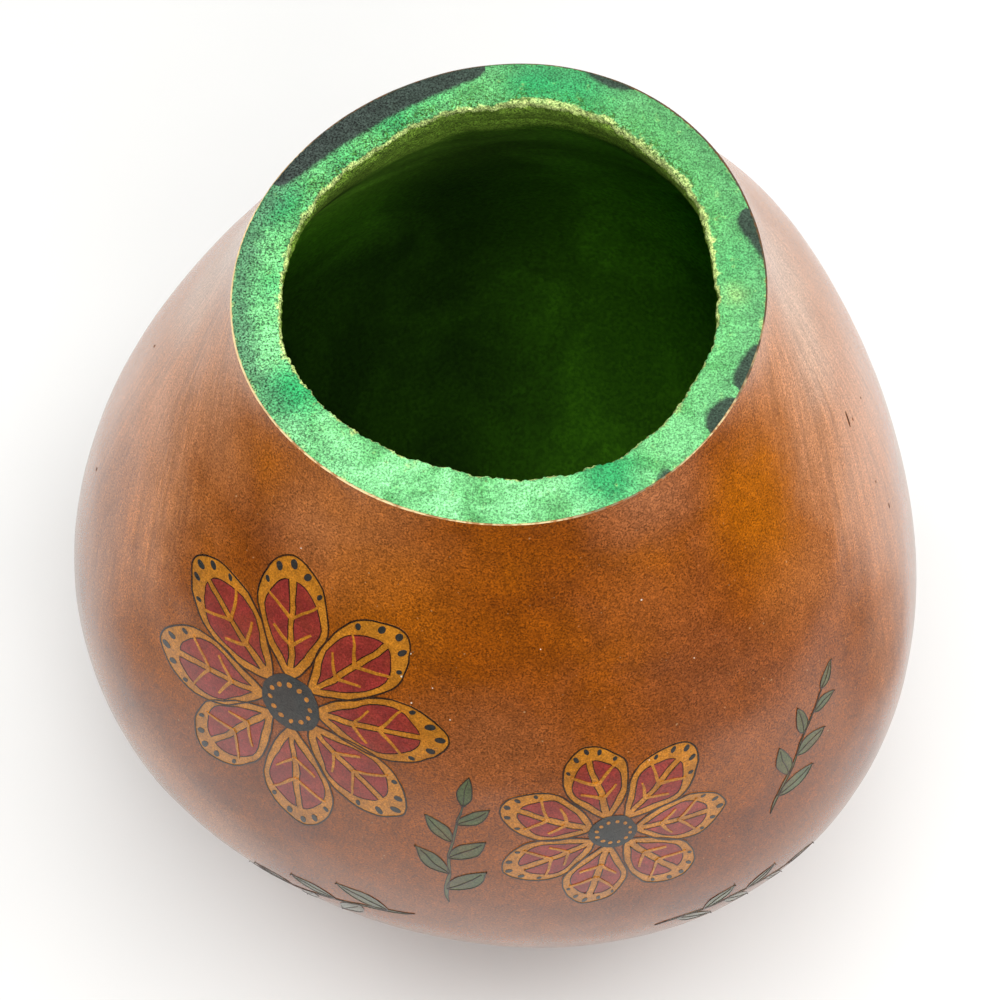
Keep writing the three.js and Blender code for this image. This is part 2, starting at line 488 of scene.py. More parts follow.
def clouds(name, scale, depth=2):
    """A soft random relief, whose lumps are about this large."""
    relief = bpy.data.textures.get(name) or bpy.data.textures.new(name, "CLOUDS")
    relief.noise_scale = scale
    relief.noise_depth = depth
    return relief


def roughened(obj, relief, strength, **more):
    """Moves the surface in and out by a relief."""
    finished(obj, "DISPLACE", texture=relief, texture_coords="LOCAL", strength=strength, **more)


def sawn(obj, point, normal):
    """Saws off what lies above a plane, and closes the wall that this lays open."""
    with editing(obj):
        bpy.ops.mesh.select_all(action="SELECT")
        bpy.ops.mesh.bisect(plane_co=point, plane_no=normal, clear_outer=True, threshold=MERGE)
        bpy.ops.mesh.bridge_edge_loops()


def weigh(obj, name, weights):
    """A vertex group with one weight for each vertex."""
    group = obj.vertex_groups.new(name=name)
    for number, weight in enumerate(weights):
        group.add((number,), float(weight), "REPLACE")
    return name


def mark(obj, name, values):
    """A named value on each vertex, for the materials to read."""
    layer = obj.data.attributes.new(name, "FLOAT", "POINT")
    layer.data.foreach_set("value", np.asarray(values, np.float32))


def points_of(obj):
    places = np.empty(len(obj.data.vertices) * 3, np.float32)
    obj.data.vertices.foreach_get("co", places)
    return places.reshape(-1, 3).astype(float)


def move_points(obj, places):
    obj.data.vertices.foreach_set("co", np.asarray(places, np.float32).ravel())
    obj.data.update()


def turned(name, profile, steps):
    """A form turned about the upright axis from a chain of (radius, height) points."""
    bpy.ops.object.select_all(action="DESELECT")
    bpy.ops.mesh.primitive_plane_add(size=2 * MM)
    obj = started(name)
    corners = [Vector((radius, 0, height)) for radius, height in profile]
    with editing(obj):
        select(obj, "VERT", lambda vert: vert.index > 0)
        bpy.ops.mesh.delete(type="VERT")
        bpy.ops.mesh.select_all(action="SELECT")
        bpy.ops.transform.translate(value=corners[0] - Vector((-MM, -MM, 0)))
        for here, there in zip(corners, corners[1:]):
            bpy.ops.mesh.extrude_region_move(TRANSFORM_OT_translate={"value": there - here})
        bpy.ops.mesh.select_all(action="SELECT")
        bpy.ops.mesh.spin(steps=steps, angle=2 * math.pi, center=(0, 0, 0), axis=(0, 0, 1))
        bpy.ops.mesh.select_all(action="SELECT")
        bpy.ops.mesh.remove_doubles(threshold=MERGE)
        bpy.ops.mesh.normals_make_consistent(inside=False)
    return obj


def strip(name, rows, columns):
    """A flat strip of faces from rows of (place along it, left edge, right edge)."""
    bpy.ops.object.select_all(action="DESELECT")
    bpy.ops.mesh.primitive_grid_add(x_subdivisions=columns, y_subdivisions=len(rows) - 1, size=2)
    obj = started(name)
    step = 2 / (len(rows) - 1)
    with editing(obj):
        for number, (along, left, right) in enumerate(rows):
            select(obj, "VERT", lambda vert: vert.index // (columns + 1) == number)
            bpy.ops.transform.resize(value=((right - left) / 2, 1, 1))
            start = -1 + number * step
            bpy.ops.transform.translate(value=((left + right) / 2, along - start, 0))
        bpy.ops.mesh.select_all(action="SELECT")
        bpy.ops.mesh.remove_doubles(threshold=POINT)
    return obj


def disc(name, radius, rings=1, sides=24):
    """A flat round disc with rings of faces and a middle point."""
    bpy.ops.object.select_all(action="DESELECT")
    bpy.ops.mesh.primitive_circle_add(vertices=sides, radius=radius, fill_type="NGON")
    obj = started(name)
    with editing(obj):
        bpy.ops.mesh.select_mode(type="FACE")
        bpy.ops.mesh.select_all(action="SELECT")
        for _ in range(rings):
            bpy.ops.mesh.inset(thickness=radius / (rings + 1))
        bpy.ops.mesh.poke()
    return obj


def copied(obj, name, placing=Matrix()):
    """A copy with its own mesh, moved in its mesh."""
    twin = bpy.data.objects.new(name, obj.data.copy())
    twin.data.name = name
    twin.data.transform(placing)
    bpy.context.collection.objects.link(twin)
    return twin


def border_line(obj, name, width):
    """The line along the border of a flat shape."""
    line = copied(obj, name)
    with editing(line):
        bpy.ops.mesh.select_mode(type="FACE")
        bpy.ops.mesh.select_all(action="SELECT")
        bpy.ops.mesh.inset(thickness=width, use_boundary=True, use_even_offset=False)
        bpy.ops.mesh.delete(type="FACE")
    return line


def joined(name, objects):
    pick(*objects)
    if len(objects) > 1:
        bpy.ops.object.join()
    return started(name)


def discard(*objects):
    for obj in objects:
        bpy.data.objects.remove(obj)


def unsteady(obj):
    """Lets the lines of a flat pattern waver, as drawn by hand."""
    for direction, scale in (("X", 7 * MM), ("Y", 9 * MM)):
        waver = clouds(f"Unsteady hand {direction}", scale)
        roughened(obj, waver, WAVER, direction=direction)
    return obj


def laid_on(obj, skin, seat, lift, thickness):
    """Lays a flat pattern on the skin at its seat, and gives it the thickness of paint."""
    obj.matrix_world = seat @ Matrix.Translation((0, 0, HOVER))
    finished(
        obj,
        "SHRINKWRAP",
        target=skin,
        wrap_method="PROJECT",
        use_project_z=True,
        use_negative_direction=True,
        use_positive_direction=False,
        offset=lift,
    )
    finished(obj, "SOLIDIFY", thickness=thickness, offset=-1)
    bpy.ops.object.transform_apply(location=True, rotation=True, scale=True)
    bpy.ops.object.shade_smooth_by_angle(angle=math.radians(40))
    return obj


def hand_over(obj, slot, *materials, replaces=()):
    """Gives a finished piece its materials and its place in the frame."""
    for material in materials:
        obj.data.materials.append(material)
    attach(obj, BODY)
    if replaces:
        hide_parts(*replaces)


# Wiring of the materials

def add_node(tree, kind, inputs=None, **settings):
    """A node with its settings, whose inputs are linked or given a value."""
    node = tree.nodes.new(kind)
    for name, value in settings.items():
        setattr(node, name, value)
    for name, value in (inputs or {}).items():
        if isinstance(value, bpy.types.NodeSocket):
            tree.links.new(value, node.inputs[name])
        else:
            node.inputs[name].default_value = value
    return node


def object_place(tree):
    return add_node(tree, "ShaderNodeTexCoord").outputs["Object"]


def named_value(tree, name):
    return add_node(tree, "ShaderNodeAttribute", attribute_name=name).outputs["Fac"]


def calculated(tree, operation, first, second=0.0):
    return add_node(tree, "ShaderNodeMath", {0: first, 1: second}, operation=operation).outputs[0]


def times(tree, first, second):
    return calculated(tree, "MULTIPLY", first, second)


def plus(tree, first, second):
    return calculated(tree, "ADD", first, second)


def less(tree, first, second):
    return calculated(tree, "SUBTRACT", first, second)


def mixed(tree, amount, first, second):
    inputs = {0: amount, 6: first, 7: second}
    return add_node(tree, "ShaderNodeMix", inputs, data_type="RGBA").outputs[2]


def ranged(tree, value, low, high, to_low=0.0, to_high=1.0):
    inputs = {"Value": value, "From Min": low, "From Max": high, "To Min": to_low, "To Max": to_high}
    return add_node(tree, "ShaderNodeMapRange", inputs, interpolation_type="SMOOTHSTEP").outputs[0]


def noise(tree, place, scale, detail=2.0, roughness=0.5, distortion=0.0):
    inputs = {
        "Vector": place,
        "Scale": scale,
        "Detail": detail,
        "Roughness": roughness,
        "Distortion": distortion,
    }
    return add_node(tree, "ShaderNodeTexNoise", inputs).outputs["Fac"]


def plain(tree, colour_value):
    node = tree.nodes.new("ShaderNodeRGB")
    node.outputs[0].default_value = colour_value
    return node.outputs[0]


def axes_of(tree, place):
    return add_node(tree, "ShaderNodeSeparateXYZ", {0: place}).outputs


def centred(tree, value, amount):
    """A value round one half as a swing round nought."""
    return times(tree, less(tree, value, 0.5), amount)


def shaded(tree, colour_socket, shade):
    """A colour made lighter or darker by a value round 1."""
    node = add_node(tree, "ShaderNodeVectorMath", {0: colour_socket, "Scale": shade}, operation="SCALE")
    return node.outputs[0]


def new_group(name, inputs, outputs):
    """An empty shader group: inputs are (name, kind, default), outputs are names."""
    tree = bpy.data.node_groups.new(name, "ShaderNodeTree")
    for label, kind, default in inputs:
        socket = tree.interface.new_socket(label, in_out="INPUT", socket_type=kind)
        if default is not None:
            socket.default_value = default
    for label in outputs:
        tree.interface.new_socket(label, in_out="OUTPUT", socket_type="NodeSocketFloat")
    return tree, tree.nodes.new("NodeGroupInput").outputs, tree.nodes.new("NodeGroupOutput").inputs


def shared_group(name, build):
    """The group of this name, which is built the first time."""
    return bpy.data.node_groups.get(name) or build(name)


def build_speckle(name):
    """Fine grains, as a shade round 1 and a height."""
    inputs = (
        ("Place", "NodeSocketVector", None),
        ("Scale", "NodeSocketFloat", 900.0),
        ("Amount", "NodeSocketFloat", 0.2),
    )
    tree, given, out = new_group(name, inputs, ("Shade", "Height"))
    fine = noise(tree, given["Place"], given["Scale"], 1.0, 0.6)
    coarse = noise(tree, given["Place"], times(tree, given["Scale"], 0.3), 2.0, 0.6)
    swing = plus(tree, ranged(tree, fine, 0.28, 0.72, -1.0, 1.0), centred(tree, coarse, 0.8))
    swing = times(tree, swing, ranged(tree, coarse, 0.3, 0.7, 0.6, 1.4))
    swing = times(tree, swing, given["Amount"])
    tree.links.new(plus(tree, swing, 1.0), out["Shade"])
    tree.links.new(fine, out["Height"])
    return tree


def build_sawn_grain_and_pit_shade(name):
    """Coarse grain of a sawn face, and painted shade in its pits, as a shade round 1 and a height."""
    inputs = (("Place", "NodeSocketVector", None), ("Amount", "NodeSocketFloat", 1.0))
    tree, given, out = new_group(name, inputs, ("Shade", "Height"))
    grain = noise(tree, given["Place"], 2500.0, 2.0, 0.7)
    lumps = noise(tree, given["Place"], 320.0, 3.0, 0.6)
    inputs = {"Vector": given["Place"], "Scale": 1600.0}
    cells = add_node(tree, "ShaderNodeTexVoronoi", inputs).outputs["Distance"]
    # the dark pits are painted shade in the pores
    pits = ranged(tree, cells, 0.1, 0.34, 0.35, 1.05)
    shade = times(tree, ranged(tree, grain, 0.3, 0.7, 0.25, 1.85), pits)
    shade = times(tree, shade, ranged(tree, lumps, 0.3, 0.7, 0.82, 1.18))
    swing = times(tree, less(tree, shade, 1.0), given["Amount"])
    tree.links.new(plus(tree, swing, 1.0), out["Shade"])
    tree.links.new(plus(tree, grain, pits), out["Height"])
    return tree


def build_clouds(name):
    """Soft lumpy clouds."""
    inputs = (
        ("Place", "NodeSocketVector", None),
        ("Scale", "NodeSocketFloat", 20.0),
        ("Low", "NodeSocketFloat", 0.4),
        ("High", "NodeSocketFloat", 0.7),
    )
    tree, given, out = new_group(name, inputs, ("Mask",))
    lumps = noise(tree, given["Place"], given["Scale"], 4.0, 0.55, 0.6)
    tree.links.new(ranged(tree, lumps, given["Low"], given["High"]), out["Mask"])
    return tree


def build_patch(name):
    """A round patch with a lumpy border."""
    inputs = (
        ("Place", "NodeSocketVector", None),
        ("Centre", "NodeSocketVector", None),
        ("Radius", "NodeSocketFloat", 0.02),
        ("Edge", "NodeSocketFloat", 0.01),
        ("Wobble", "NodeSocketFloat", 0.02),
    )
    tree, given, out = new_group(name, inputs, ("Mask",))
    inputs = {0: given["Place"], 1: given["Centre"]}
    away = add_node(tree, "ShaderNodeVectorMath", inputs, operation="DISTANCE").outputs["Value"]
    lumps = centred(tree, noise(tree, given["Place"], 55.0, 4.0, 0.6, 0.5), given["Wobble"])
    away = plus(tree, away, lumps)
    outer = plus(tree, given["Radius"], given["Edge"])
    inner = less(tree, given["Radius"], given["Edge"])
    tree.links.new(less(tree, 1.0, ranged(tree, away, inner, outer)), out["Mask"])
    return tree


def build_fibres(name):
    """Streaks up the form, which fan out from its axis, and at the front from a line behind it."""
    inputs = (
        ("Place", "NodeSocketVector", None),
        ("Count", "NodeSocketFloat", 60.0),
        ("Along", "NodeSocketFloat", 40.0),
        ("Meeting", "NodeSocketFloat", 0.16),
    )
    tree, given, out = new_group(name, inputs, ("Mask",))
    axes = axes_of(tree, given["Place"])
    in_front = ranged(tree, axes["Y"], 0.05, -0.02)
    behind = less(tree, axes["Y"], times(tree, in_front, given["Meeting"]))
    flat = add_node(tree, "ShaderNodeCombineXYZ", {"X": axes["X"], "Y": behind})
    round_axis = add_node(tree, "ShaderNodeVectorMath", {0: flat.outputs[0]}, operation="NORMALIZE")
    inputs = {0: round_axis.outputs[0], "Scale": given["Count"]}
    spread = add_node(tree, "ShaderNodeVectorMath", inputs, operation="SCALE").outputs[0]
    rise = times(tree, axes["Z"], given["Along"])
    upward = add_node(tree, "ShaderNodeCombineXYZ", {"Z": rise}).outputs[0]
    place = add_node(tree, "ShaderNodeVectorMath", {0: spread, 1: upward}, operation="ADD").outputs[0]
    tree.links.new(noise(tree, place, 1.0, 3.0, 0.6), out["Mask"])
    return tree


def placed(tree, group, **inputs):
    """Puts a shared group in a material, with its own values."""
    named = {label.replace("_", " ").title(): value for label, value in inputs.items()}
    return add_node(tree, "ShaderNodeGroup", named, node_tree=group).outputs


def speckle(tree, place, scale, amount):
    group = shared_group("Fine speckle", build_speckle)
    return placed(tree, group, place=place, scale=scale, amount=amount)


def sawn_grain_and_pit_shade(tree, place, amount):
    group = shared_group("Sawn grain and pit shade", build_sawn_grain_and_pit_shade)
    return placed(tree, group, place=place, amount=amount)


def cloud_mask(tree, place, scale, low, high):
    group = shared_group("Soft clouds", build_clouds)
    return placed(tree, group, place=place, scale=scale, low=low, high=high)["Mask"]


def patch(tree, place, centre, radius, edge, wobble):
    """Mask of one rubbed patch; its places and sizes are millimetres."""
    group = shared_group("Rubbed patch", build_patch)
    centre = tuple(value * MM for value in centre)
    sizes = {"radius": radius * MM, "edge": edge * MM, "wobble": wobble * MM}
    return placed(tree, group, place=place, centre=centre, **sizes)["Mask"]


def fibres(tree, place, count, along):
    group = shared_group("Upright fibres", build_fibres)
    return placed(tree, group, place=place, count=count, along=along)["Mask"]


def new_material(name, **constants):
    """A material with one shader, whose unchanging values are set on its own sockets."""
    material = bpy.data.materials.new(name)
    material.use_nodes = True
    tree = material.node_tree
    tree.nodes.clear()
    shader = tree.nodes.new("ShaderNodeBsdfPrincipled")
    for label, value in constants.items():
        shader.inputs[label.replace("_", " ").title().replace("Ior", "IOR")].default_value = value
    add_node(tree, "ShaderNodeOutputMaterial", {"Surface": shader.outputs[0]})
    return material, tree, shader.inputs


def bump(tree, sockets, height, distance, strength):
    inputs = {"Height": height, "Distance": distance, "Strength": strength}
    normal = add_node(tree, "ShaderNodeBump", inputs).outputs[0]
    tree.links.new(normal, sockets["Normal"])
    tree.links.new(normal, sockets["Coat Normal"])


def patch_masks(tree, place, patches, edge, wobble):
    """Masks of some rubbed patches, each at its own strength."""
    for centre, radius, amount in patches:
        yield times(tree, patch(tree, place, centre, radius, edge, wobble), amount)


def patched(tree, place, colour_now, paint, patches, edge, wobble):
    """A colour with patches of paint rubbed into it."""
    for mask in patch_masks(tree, place, patches, edge, wobble):
        colour_now = mixed(tree, mask, colour_now, paint)
    return colour_now


def dye_clouds(tree, place, colours):
    """The leather dye with its darker, brighter and reddish clouds."""
    deep = cloud_mask(tree, place, 24.0, 0.42, 0.7)
    colour_now = mixed(tree, deep, colours.stain, colours.stain_deep)
    bright = times(tree, cloud_mask(tree, place, 20.0, 0.5, 0.72), 0.45)
    colour_now = mixed(tree, bright, colour_now, colours.stain_bright)
    colour_now = patched(tree, place, colour_now, colours.stain_deep, DEEP_PATCHES, 11, 26)
    mauve = times(tree, cloud_mask(tree, place, 17.0, 0.46, 0.74), 0.4)
    colour_now = mixed(tree, mauve, colour_now, colours.stain_mauve)
    return patched(tree, place, colour_now, colours.stain_mauve, MAUVE_PATCHES, 14, 30)


def back_and_flanks(tree, place, axes):
    """Mask of the back and the flanks, with a ragged border to the front."""
    behind = plus(tree, axes["Y"], centred(tree, noise(tree, place, 40.0, 4.0, 0.6), 0.04))
    aside = less(tree, calculated(tree, "ABSOLUTE", axes["X"]), 0.045)
    aside = times(tree, calculated(tree, "MAXIMUM", aside, 0.0), 0.55)
    return ranged(tree, plus(tree, behind, aside), -0.046, -0.014)


def thin_dye_and_sheen(tree, place, axes, behind):
    """Mask of the pale shoulders and flanks: partly where little dye took, partly painted sheen, and on the
    lower left flank a painted reflection of the pale floor.
    """
    thin = times(tree, behind, ranged(tree, axes["Z"], 0.08, 0.145))
    thin = times(tree, thin, 0.92)
    for mask in patch_masks(tree, place, DYED_PATCHES, 12, 18):
        thin = less(tree, thin, times(tree, thin, mask))
    for mask in patch_masks(tree, place, THIN_DYE_AND_SHEEN_PATCHES, 12, 18):
        thin = calculated(tree, "MAXIMUM", thin, mask)
    return thin


def pale_dye_and_sheen(tree, axes, colours):
    """Colour of the thin dye and painted sheen: pinkish high up, tan below and less pink at the far left."""
    pink = ranged(tree, axes["Z"], 0.122, 0.16)
    pink = times(tree, pink, ranged(tree, axes["X"], -0.09, -0.05, 0.55, 1.0))
    return mixed(tree, pink, colours.stain_tan, colours.stain_thin_and_sheen)


def fibre_streaks(tree, place, axes, behind):
    """Streaks of the fibres, as a swing round nought that is strongest high on the back and the flanks."""
    streaks = plus(tree, fibres(tree, place, 240.0, 60.0), fibres(tree, place, 110.0, 26.0))
    streaks = less(tree, streaks, 1.0)
    streaks = times(tree, streaks, ranged(tree, behind, 0, 1, 0.15, 0.85))
    return times(tree, streaks, ranged(tree, axes["Z"], 0.09, 0.14, 0.4, 1.0))


def stained_rind(colours):
    """Leather dye rubbed on the rind in clouds, under a satin varnish."""
    material, tree, sockets = new_material(
        "Stained rind", coat_ior=1.55, coat_roughness=0.2, specular_ior_level=0.03
    )
    place = object_place(tree)
    axes = axes_of(tree, place)
    colour_now = dye_clouds(tree, place, colours)
    behind = back_and_flanks(tree, place, axes)
    # Pale shoulders and flanks: partly thin dye, partly painted sheen and painted reflection of the floor
    thin = thin_dye_and_sheen(tree, place, axes, behind)
    colour_now = mixed(tree, thin, colour_now, pale_dye_and_sheen(tree, axes, colours))
    # painted sheen on the shoulders
    colour_now = patched(tree, place, colour_now, colours.sheen_pale, SHEEN_PATCHES, 8, 14)
    colour_now = patched(tree, place, colour_now, colours.stain_bright, BRIGHT_PATCHES, 10, 22)
    mottle = noise(tree, place, 140.0, 4.0, 0.65, 0.3)
    mottle = times(tree, centred(tree, mottle, 0.9), ranged(tree, thin, 0, 1, 1.0, 0.35))
    colour_now = shaded(tree, colour_now, plus(tree, mottle, 1.0))
    streaks = fibre_streaks(tree, place, axes, behind)
    colour_now = shaded(tree, colour_now, plus(tree, streaks, 1.0))
    grain = speckle(tree, place, 2600.0, ranged(tree, thin, 0, 1, 0.46, 0.31))
    colour_now = shaded(tree, colour_now, grain["Shade"])
    flecks = ranged(tree, noise(tree, place, 1100.0, 1.0), 0.75, 0.83, 0.0, 0.4)
    colour_now = mixed(tree, flecks, colour_now, colours.bare_cream)
    tree.links.new(colour_now, sockets["Base Color"])
    dull = cloud_mask(tree, place, 60.0, 0.3, 0.7)
    tree.links.new(ranged(tree, dull, 0.0, 1.0, 0.42, 0.54), sockets["Roughness"])
    varnish = 1.0
    for worn in patch_masks(tree, place, WORN_PATCHES, 12, 14):
        varnish = less(tree, varnish, worn)
    tree.links.new(varnish, sockets["Coat Weight"])
    height = plus(tree, times(tree, streaks, 1.2), times(tree, grain["Height"], 0.5))
    bump(tree, sockets, height, 0.12 * MM, 0.3)
    return material


def raw_edge(colours):
    """The sawn edge of the rind: bare cream at the front and the left, darker at the back right."""
    material, tree, sockets = new_material("Sawn rind edge", specular_ior_level=0.3)
    place = object_place(tree)
    axes = axes_of(tree, place)
    lumps = noise(tree, place, 260.0, 2.0)
    back = plus(tree, axes["Y"], times(tree, axes["X"], 0.6))
    back = plus(tree, back, centred(tree, lumps, 0.06))
    back = ranged(tree, back, -0.01, 0.015)
    colour_now = mixed(tree, back, colours.bare_cream, colours.bare_dark)
    colour_now = patched(tree, place, colour_now, colours.bare_dark, DYED_EDGES, 5, 6)
    dots = ranged(tree, noise(tree, place, 700.0, 2.0), 0.42, 0.62)
    dyed = times(tree, dots, less(tree, 0.75, times(tree, back, 0.45)))
    dyed = times(tree, dyed, ranged(tree, axes["X"], -0.048, -0.036, 0.25, 1.0))
    colour_now = mixed(tree, dyed, colour_now, colours.stain)
    tree.links.new(colour_now, sockets["Base Color"])
    tree.links.new(ranged(tree, dots, 0.0, 1.0, 0.62, 0.82), sockets["Roughness"])
    bump(tree, sockets, noise(tree, place, 2200.0, 3.0), 0.1 * MM, 0.5)
    return material


def below_cut(tree, place, shape):
    """Depth below the saw cut."""
    level = float(shape.cut_point @ shape.cut_normal)
    inputs = {0: place, 1: tuple(shape.cut_normal)}
    rise = add_node(tree, "ShaderNodeVectorMath", inputs, operation="DOT_PRODUCT").outputs["Value"]
    return less(tree, level, rise)


def inner_band(tree, place, below, colour_now, colours):
    """Pale crumbs on the inner edge of the cut, an olive band below them, then the dark paint."""
    ragged = noise(tree, place, 420.0, 3.0, 0.6)
    bands = ((-0.2, 0.3, 1.0, colours.rim_yellow), (0.7, 1.5, 2.0, colours.inside_olive))
    for start, end, wobble, paint in bands:
        depth = plus(tree, below, centred(tree, ragged, wobble * MM))
        colour_now = mixed(tree, ranged(tree, depth, start * MM, end * MM), colour_now, paint)
    # On the left the olive reaches deeper and fades far down the wall: partly painted light on the lit left
    # wall
    left = ranged(tree, axes_of(tree, place)["X"], 0.025, -0.02)
    runs = noise(tree, place, 130.0, 4.0, 0.65)
    depth = less(tree, below, times(tree, left, 6 * MM))
    depth = plus(tree, depth, centred(tree, runs, 12 * MM))
    dark = ranged(tree, depth, 8 * MM, 14 * MM)
    left_wall_light = times(tree, left, ranged(tree, below, 90 * MM, 18 * MM, 0.0, 0.3))
    dark = less(tree, dark, times(tree, dark, left_wall_light))
    return mixed(tree, dark, colour_now, colours.inside)


def rim_greens_and_front_light(tree, place, axes, colours):
    """Plain green at the back and mint towards the front, partly painted light, with bluish and yellowish
    places.
    """
    # the mint grows towards the front and fades at the right: partly lighter paint, partly painted light
    mint = ranged(tree, axes["Y"], 0.03, -0.05, 0.25, 0.95)
    mint = times(tree, mint, ranged(tree, axes["X"], 0.015, 0.045, 1.0, 0.5))
    mint = times(tree, mint, cloud_mask(tree, place, 130.0, 0.3, 0.62))
    colour_now = mixed(tree, mint, colours.rim, colours.rim_mint)
    colour_now = patched(tree, place, colour_now, colours.rim_teal, TEAL_PATCHES, 5, 14)
    return patched(tree, place, colour_now, colours.rim_yellow, YELLOW_PATCHES, 3, 8)


def worn_outer_part(tree, axes, across, lumps):
    """Mask of the worn outer part of the sawn face, strongest at the far left."""
    worn = plus(tree, across, centred(tree, lumps, 0.5))
    far_left = ranged(tree, axes["X"], -0.01, -0.04)
    far_left = times(tree, far_left, ranged(tree, axes["Y"], -0.036, -0.014, 0.3, 1.0))
    worn = times(tree, ranged(tree, worn, 0.68, 0.1), ranged(tree, far_left, 0, 1, 0.3, 0.85))
    return times(tree, worn, ranged(tree, axes["Y"], -0.03, -0.044, 1.0, 0.3))


def pale_crumbs_and_lip_highlight(tree, place, axes, across, lumps):
    """Mask of the pale crumbs along the inner edge, wider at the back right and the far left, and at the
    front a painted highlight along the lip.
    """
    right = plus(tree, axes["X"], times(tree, axes["Y"], 0.6))
    right = times(tree, ranged(tree, right, 0.01, 0.04), ranged(tree, axes["Y"], -0.02, 0.01))
    left = times(tree, ranged(tree, axes["X"], -0.034, -0.043), 0.75)
    pale = plus(tree, across, centred(tree, lumps, 0.3))
    pale = plus(tree, pale, centred(tree, noise(tree, place, 110.0), 0.24))
    pale = plus(tree, pale, times(tree, calculated(tree, "MAXIMUM", left, right), 0.12))
    pale = ranged(tree, pale, 0.92, 0.99)
    return times(tree, pale, ranged(tree, axes["Y"], -0.02, -0.035, 0.85, 0.5))


def torn_pit_shade(tree, place, axes, across, lumps):
    """Mask of painted shade in the pits that the saw tore in the inner part of the face, at the back."""
    torn = ranged(tree, plus(tree, across, centred(tree, lumps, 0.3)), 0.5, 0.8)
    torn = times(tree, torn, ranged(tree, axes["Y"], 0.0, 0.025))
    pits = ranged(tree, noise(tree, place, 1400.0, 3.0, 0.7, 0.5), 0.5, 0.4)
    return times(tree, pits, torn)


def rim_stains(tree, axes, lumps):
    """Mask of the grey stains, whose reach is marked on the mesh."""
    stain = plus(tree, named_value(tree, "stain"), centred(tree, lumps, 0.14))
    stain = ranged(tree, stain, -0.06, 0.07)
    return times(tree, stain, ranged(tree, axes["X"], -0.02, 0.03, 0.97, 0.92))


def painted_rim(colours, shape):
    """Green paint that soaked into the pores of the sawn face."""
    material, tree, sockets = new_material("Green rim paint", specular_ior_level=0.25)
    place = object_place(tree)
    axes = axes_of(tree, place)
    across = named_value(tree, "across")
    lumps = noise(tree, place, 420.0, 3.0, 0.6)
    colour_now = rim_greens_and_front_light(tree, place, axes, colours)
    worn = worn_outer_part(tree, axes, across, lumps)
    colour_now = mixed(tree, worn, colour_now, colours.rim_grey)
    # At the front the crumbs turn bare cream, a painted highlight along the lip; at the back they are yellow
    # crumbs
    crumbs = mixed(tree, ranged(tree, axes["Y"], -0.02, -0.035), colours.rim_yellow, colours.bare_cream)
    crumbs_and_highlight_mask = pale_crumbs_and_lip_highlight(tree, place, axes, across, lumps)
    colour_now = mixed(tree, crumbs_and_highlight_mask, colour_now, crumbs)
    pits = torn_pit_shade(tree, place, axes, across, lumps)
    # painted shade in the torn pits, in the dark green of the inside
    colour_now = mixed(tree, times(tree, pits, 0.85), colour_now, colours.inside)
    colour_now = inner_band(tree, place, below_cut(tree, place, shape), colour_now, colours)
    colour_now = mixed(tree, rim_stains(tree, axes, lumps), colour_now, colours.rim_stain)
    leftward = less(tree, axes["X"], times(tree, axes["Y"], 0.35))
    # grain of the sawn face with painted shade in its pores
    grain = sawn_grain_and_pit_shade(tree, place, ranged(tree, leftward, 0.0, -0.045, 0.68, 1.12))
    colour_now = shaded(tree, colour_now, grain["Shade"])
    tree.links.new(colour_now, sockets["Base Color"])
    tree.links.new(ranged(tree, lumps, 0.2, 0.8, 0.62, 0.86), sockets["Roughness"])
    height = less(tree, grain["Height"], pits)
    bump(tree, sockets, height, 0.25 * MM, 0.6)
    return material


def painted_side_light(tree, axes, below):
    """Painted light and shade inside: how much lighter or darker the paint is made on each side, darker at
    the left and lighter at the right deep down, and lighter on the upper left and the back left.
    """
    lighter = ranged(tree, axes["X"], -0.015, 0.05, -0.45, 1.9)
    lighter = times(tree, lighter, ranged(tree, below, 10 * MM, 26 * MM))
    upper_left = ranged(tree, axes["X"], -0.014, -0.047)
    upper_left = times(tree, upper_left, ranged(tree, axes["Z"], 0.08, 0.115))
    upper_left = times(tree, upper_left, ranged(tree, below, 25 * MM, 60 * MM))
    lighter = plus(tree, lighter, times(tree, upper_left, 2.4))
    back_left = ranged(tree, axes["X"], 0.004, -0.018)
    back_left = times(tree, back_left, ranged(tree, axes["Y"], 0.02, 0.04))
    back_left = times(tree, back_left, ranged(tree, below, 10 * MM, 24 * MM))
    back_left = times(tree, back_left, ranged(tree, below, 90 * MM, 55 * MM))
    return plus(tree, lighter, times(tree, back_left, 0.55))


def painted_inside(colours, shape):
    """Thin dark green paint on the scraped inside."""
    material, tree, sockets = new_material("Dark inside paint", specular_ior_level=0.12)
    place = object_place(tree)
    below = below_cut(tree, place, shape)
    colour_now = inner_band(tree, place, below, colours.inside, colours)
    blotch = cloud_mask(tree, place, 30.0, 0.35, 0.7)
    colour_now = shaded(tree, colour_now, ranged(tree, blotch, 0.0, 1.0, 0.75, 1.3))
    # painted light and shade on the sides of the inside
    lighter = painted_side_light(tree, axes_of(tree, place), below)
    colour_now = shaded(tree, colour_now, plus(tree, lighter, 1.0))
    near_edge = ranged(tree, below, 22 * MM, 10 * MM, 0.1, 0.95)
    rough = sawn_grain_and_pit_shade(tree, place, near_edge)
    colour_now = shaded(tree, colour_now, rough["Shade"])
    grain = speckle(tree, place, 900.0, 0.22)
    colour_now = shaded(tree, colour_now, grain["Shade"])
    tree.links.new(colour_now, sockets["Base Color"])
    tree.links.new(ranged(tree, blotch, 0.0, 1.0, 0.78, 0.95), sockets["Roughness"])
    bump(tree, sockets, grain["Height"], 0.4 * MM, 0.6)
    return material


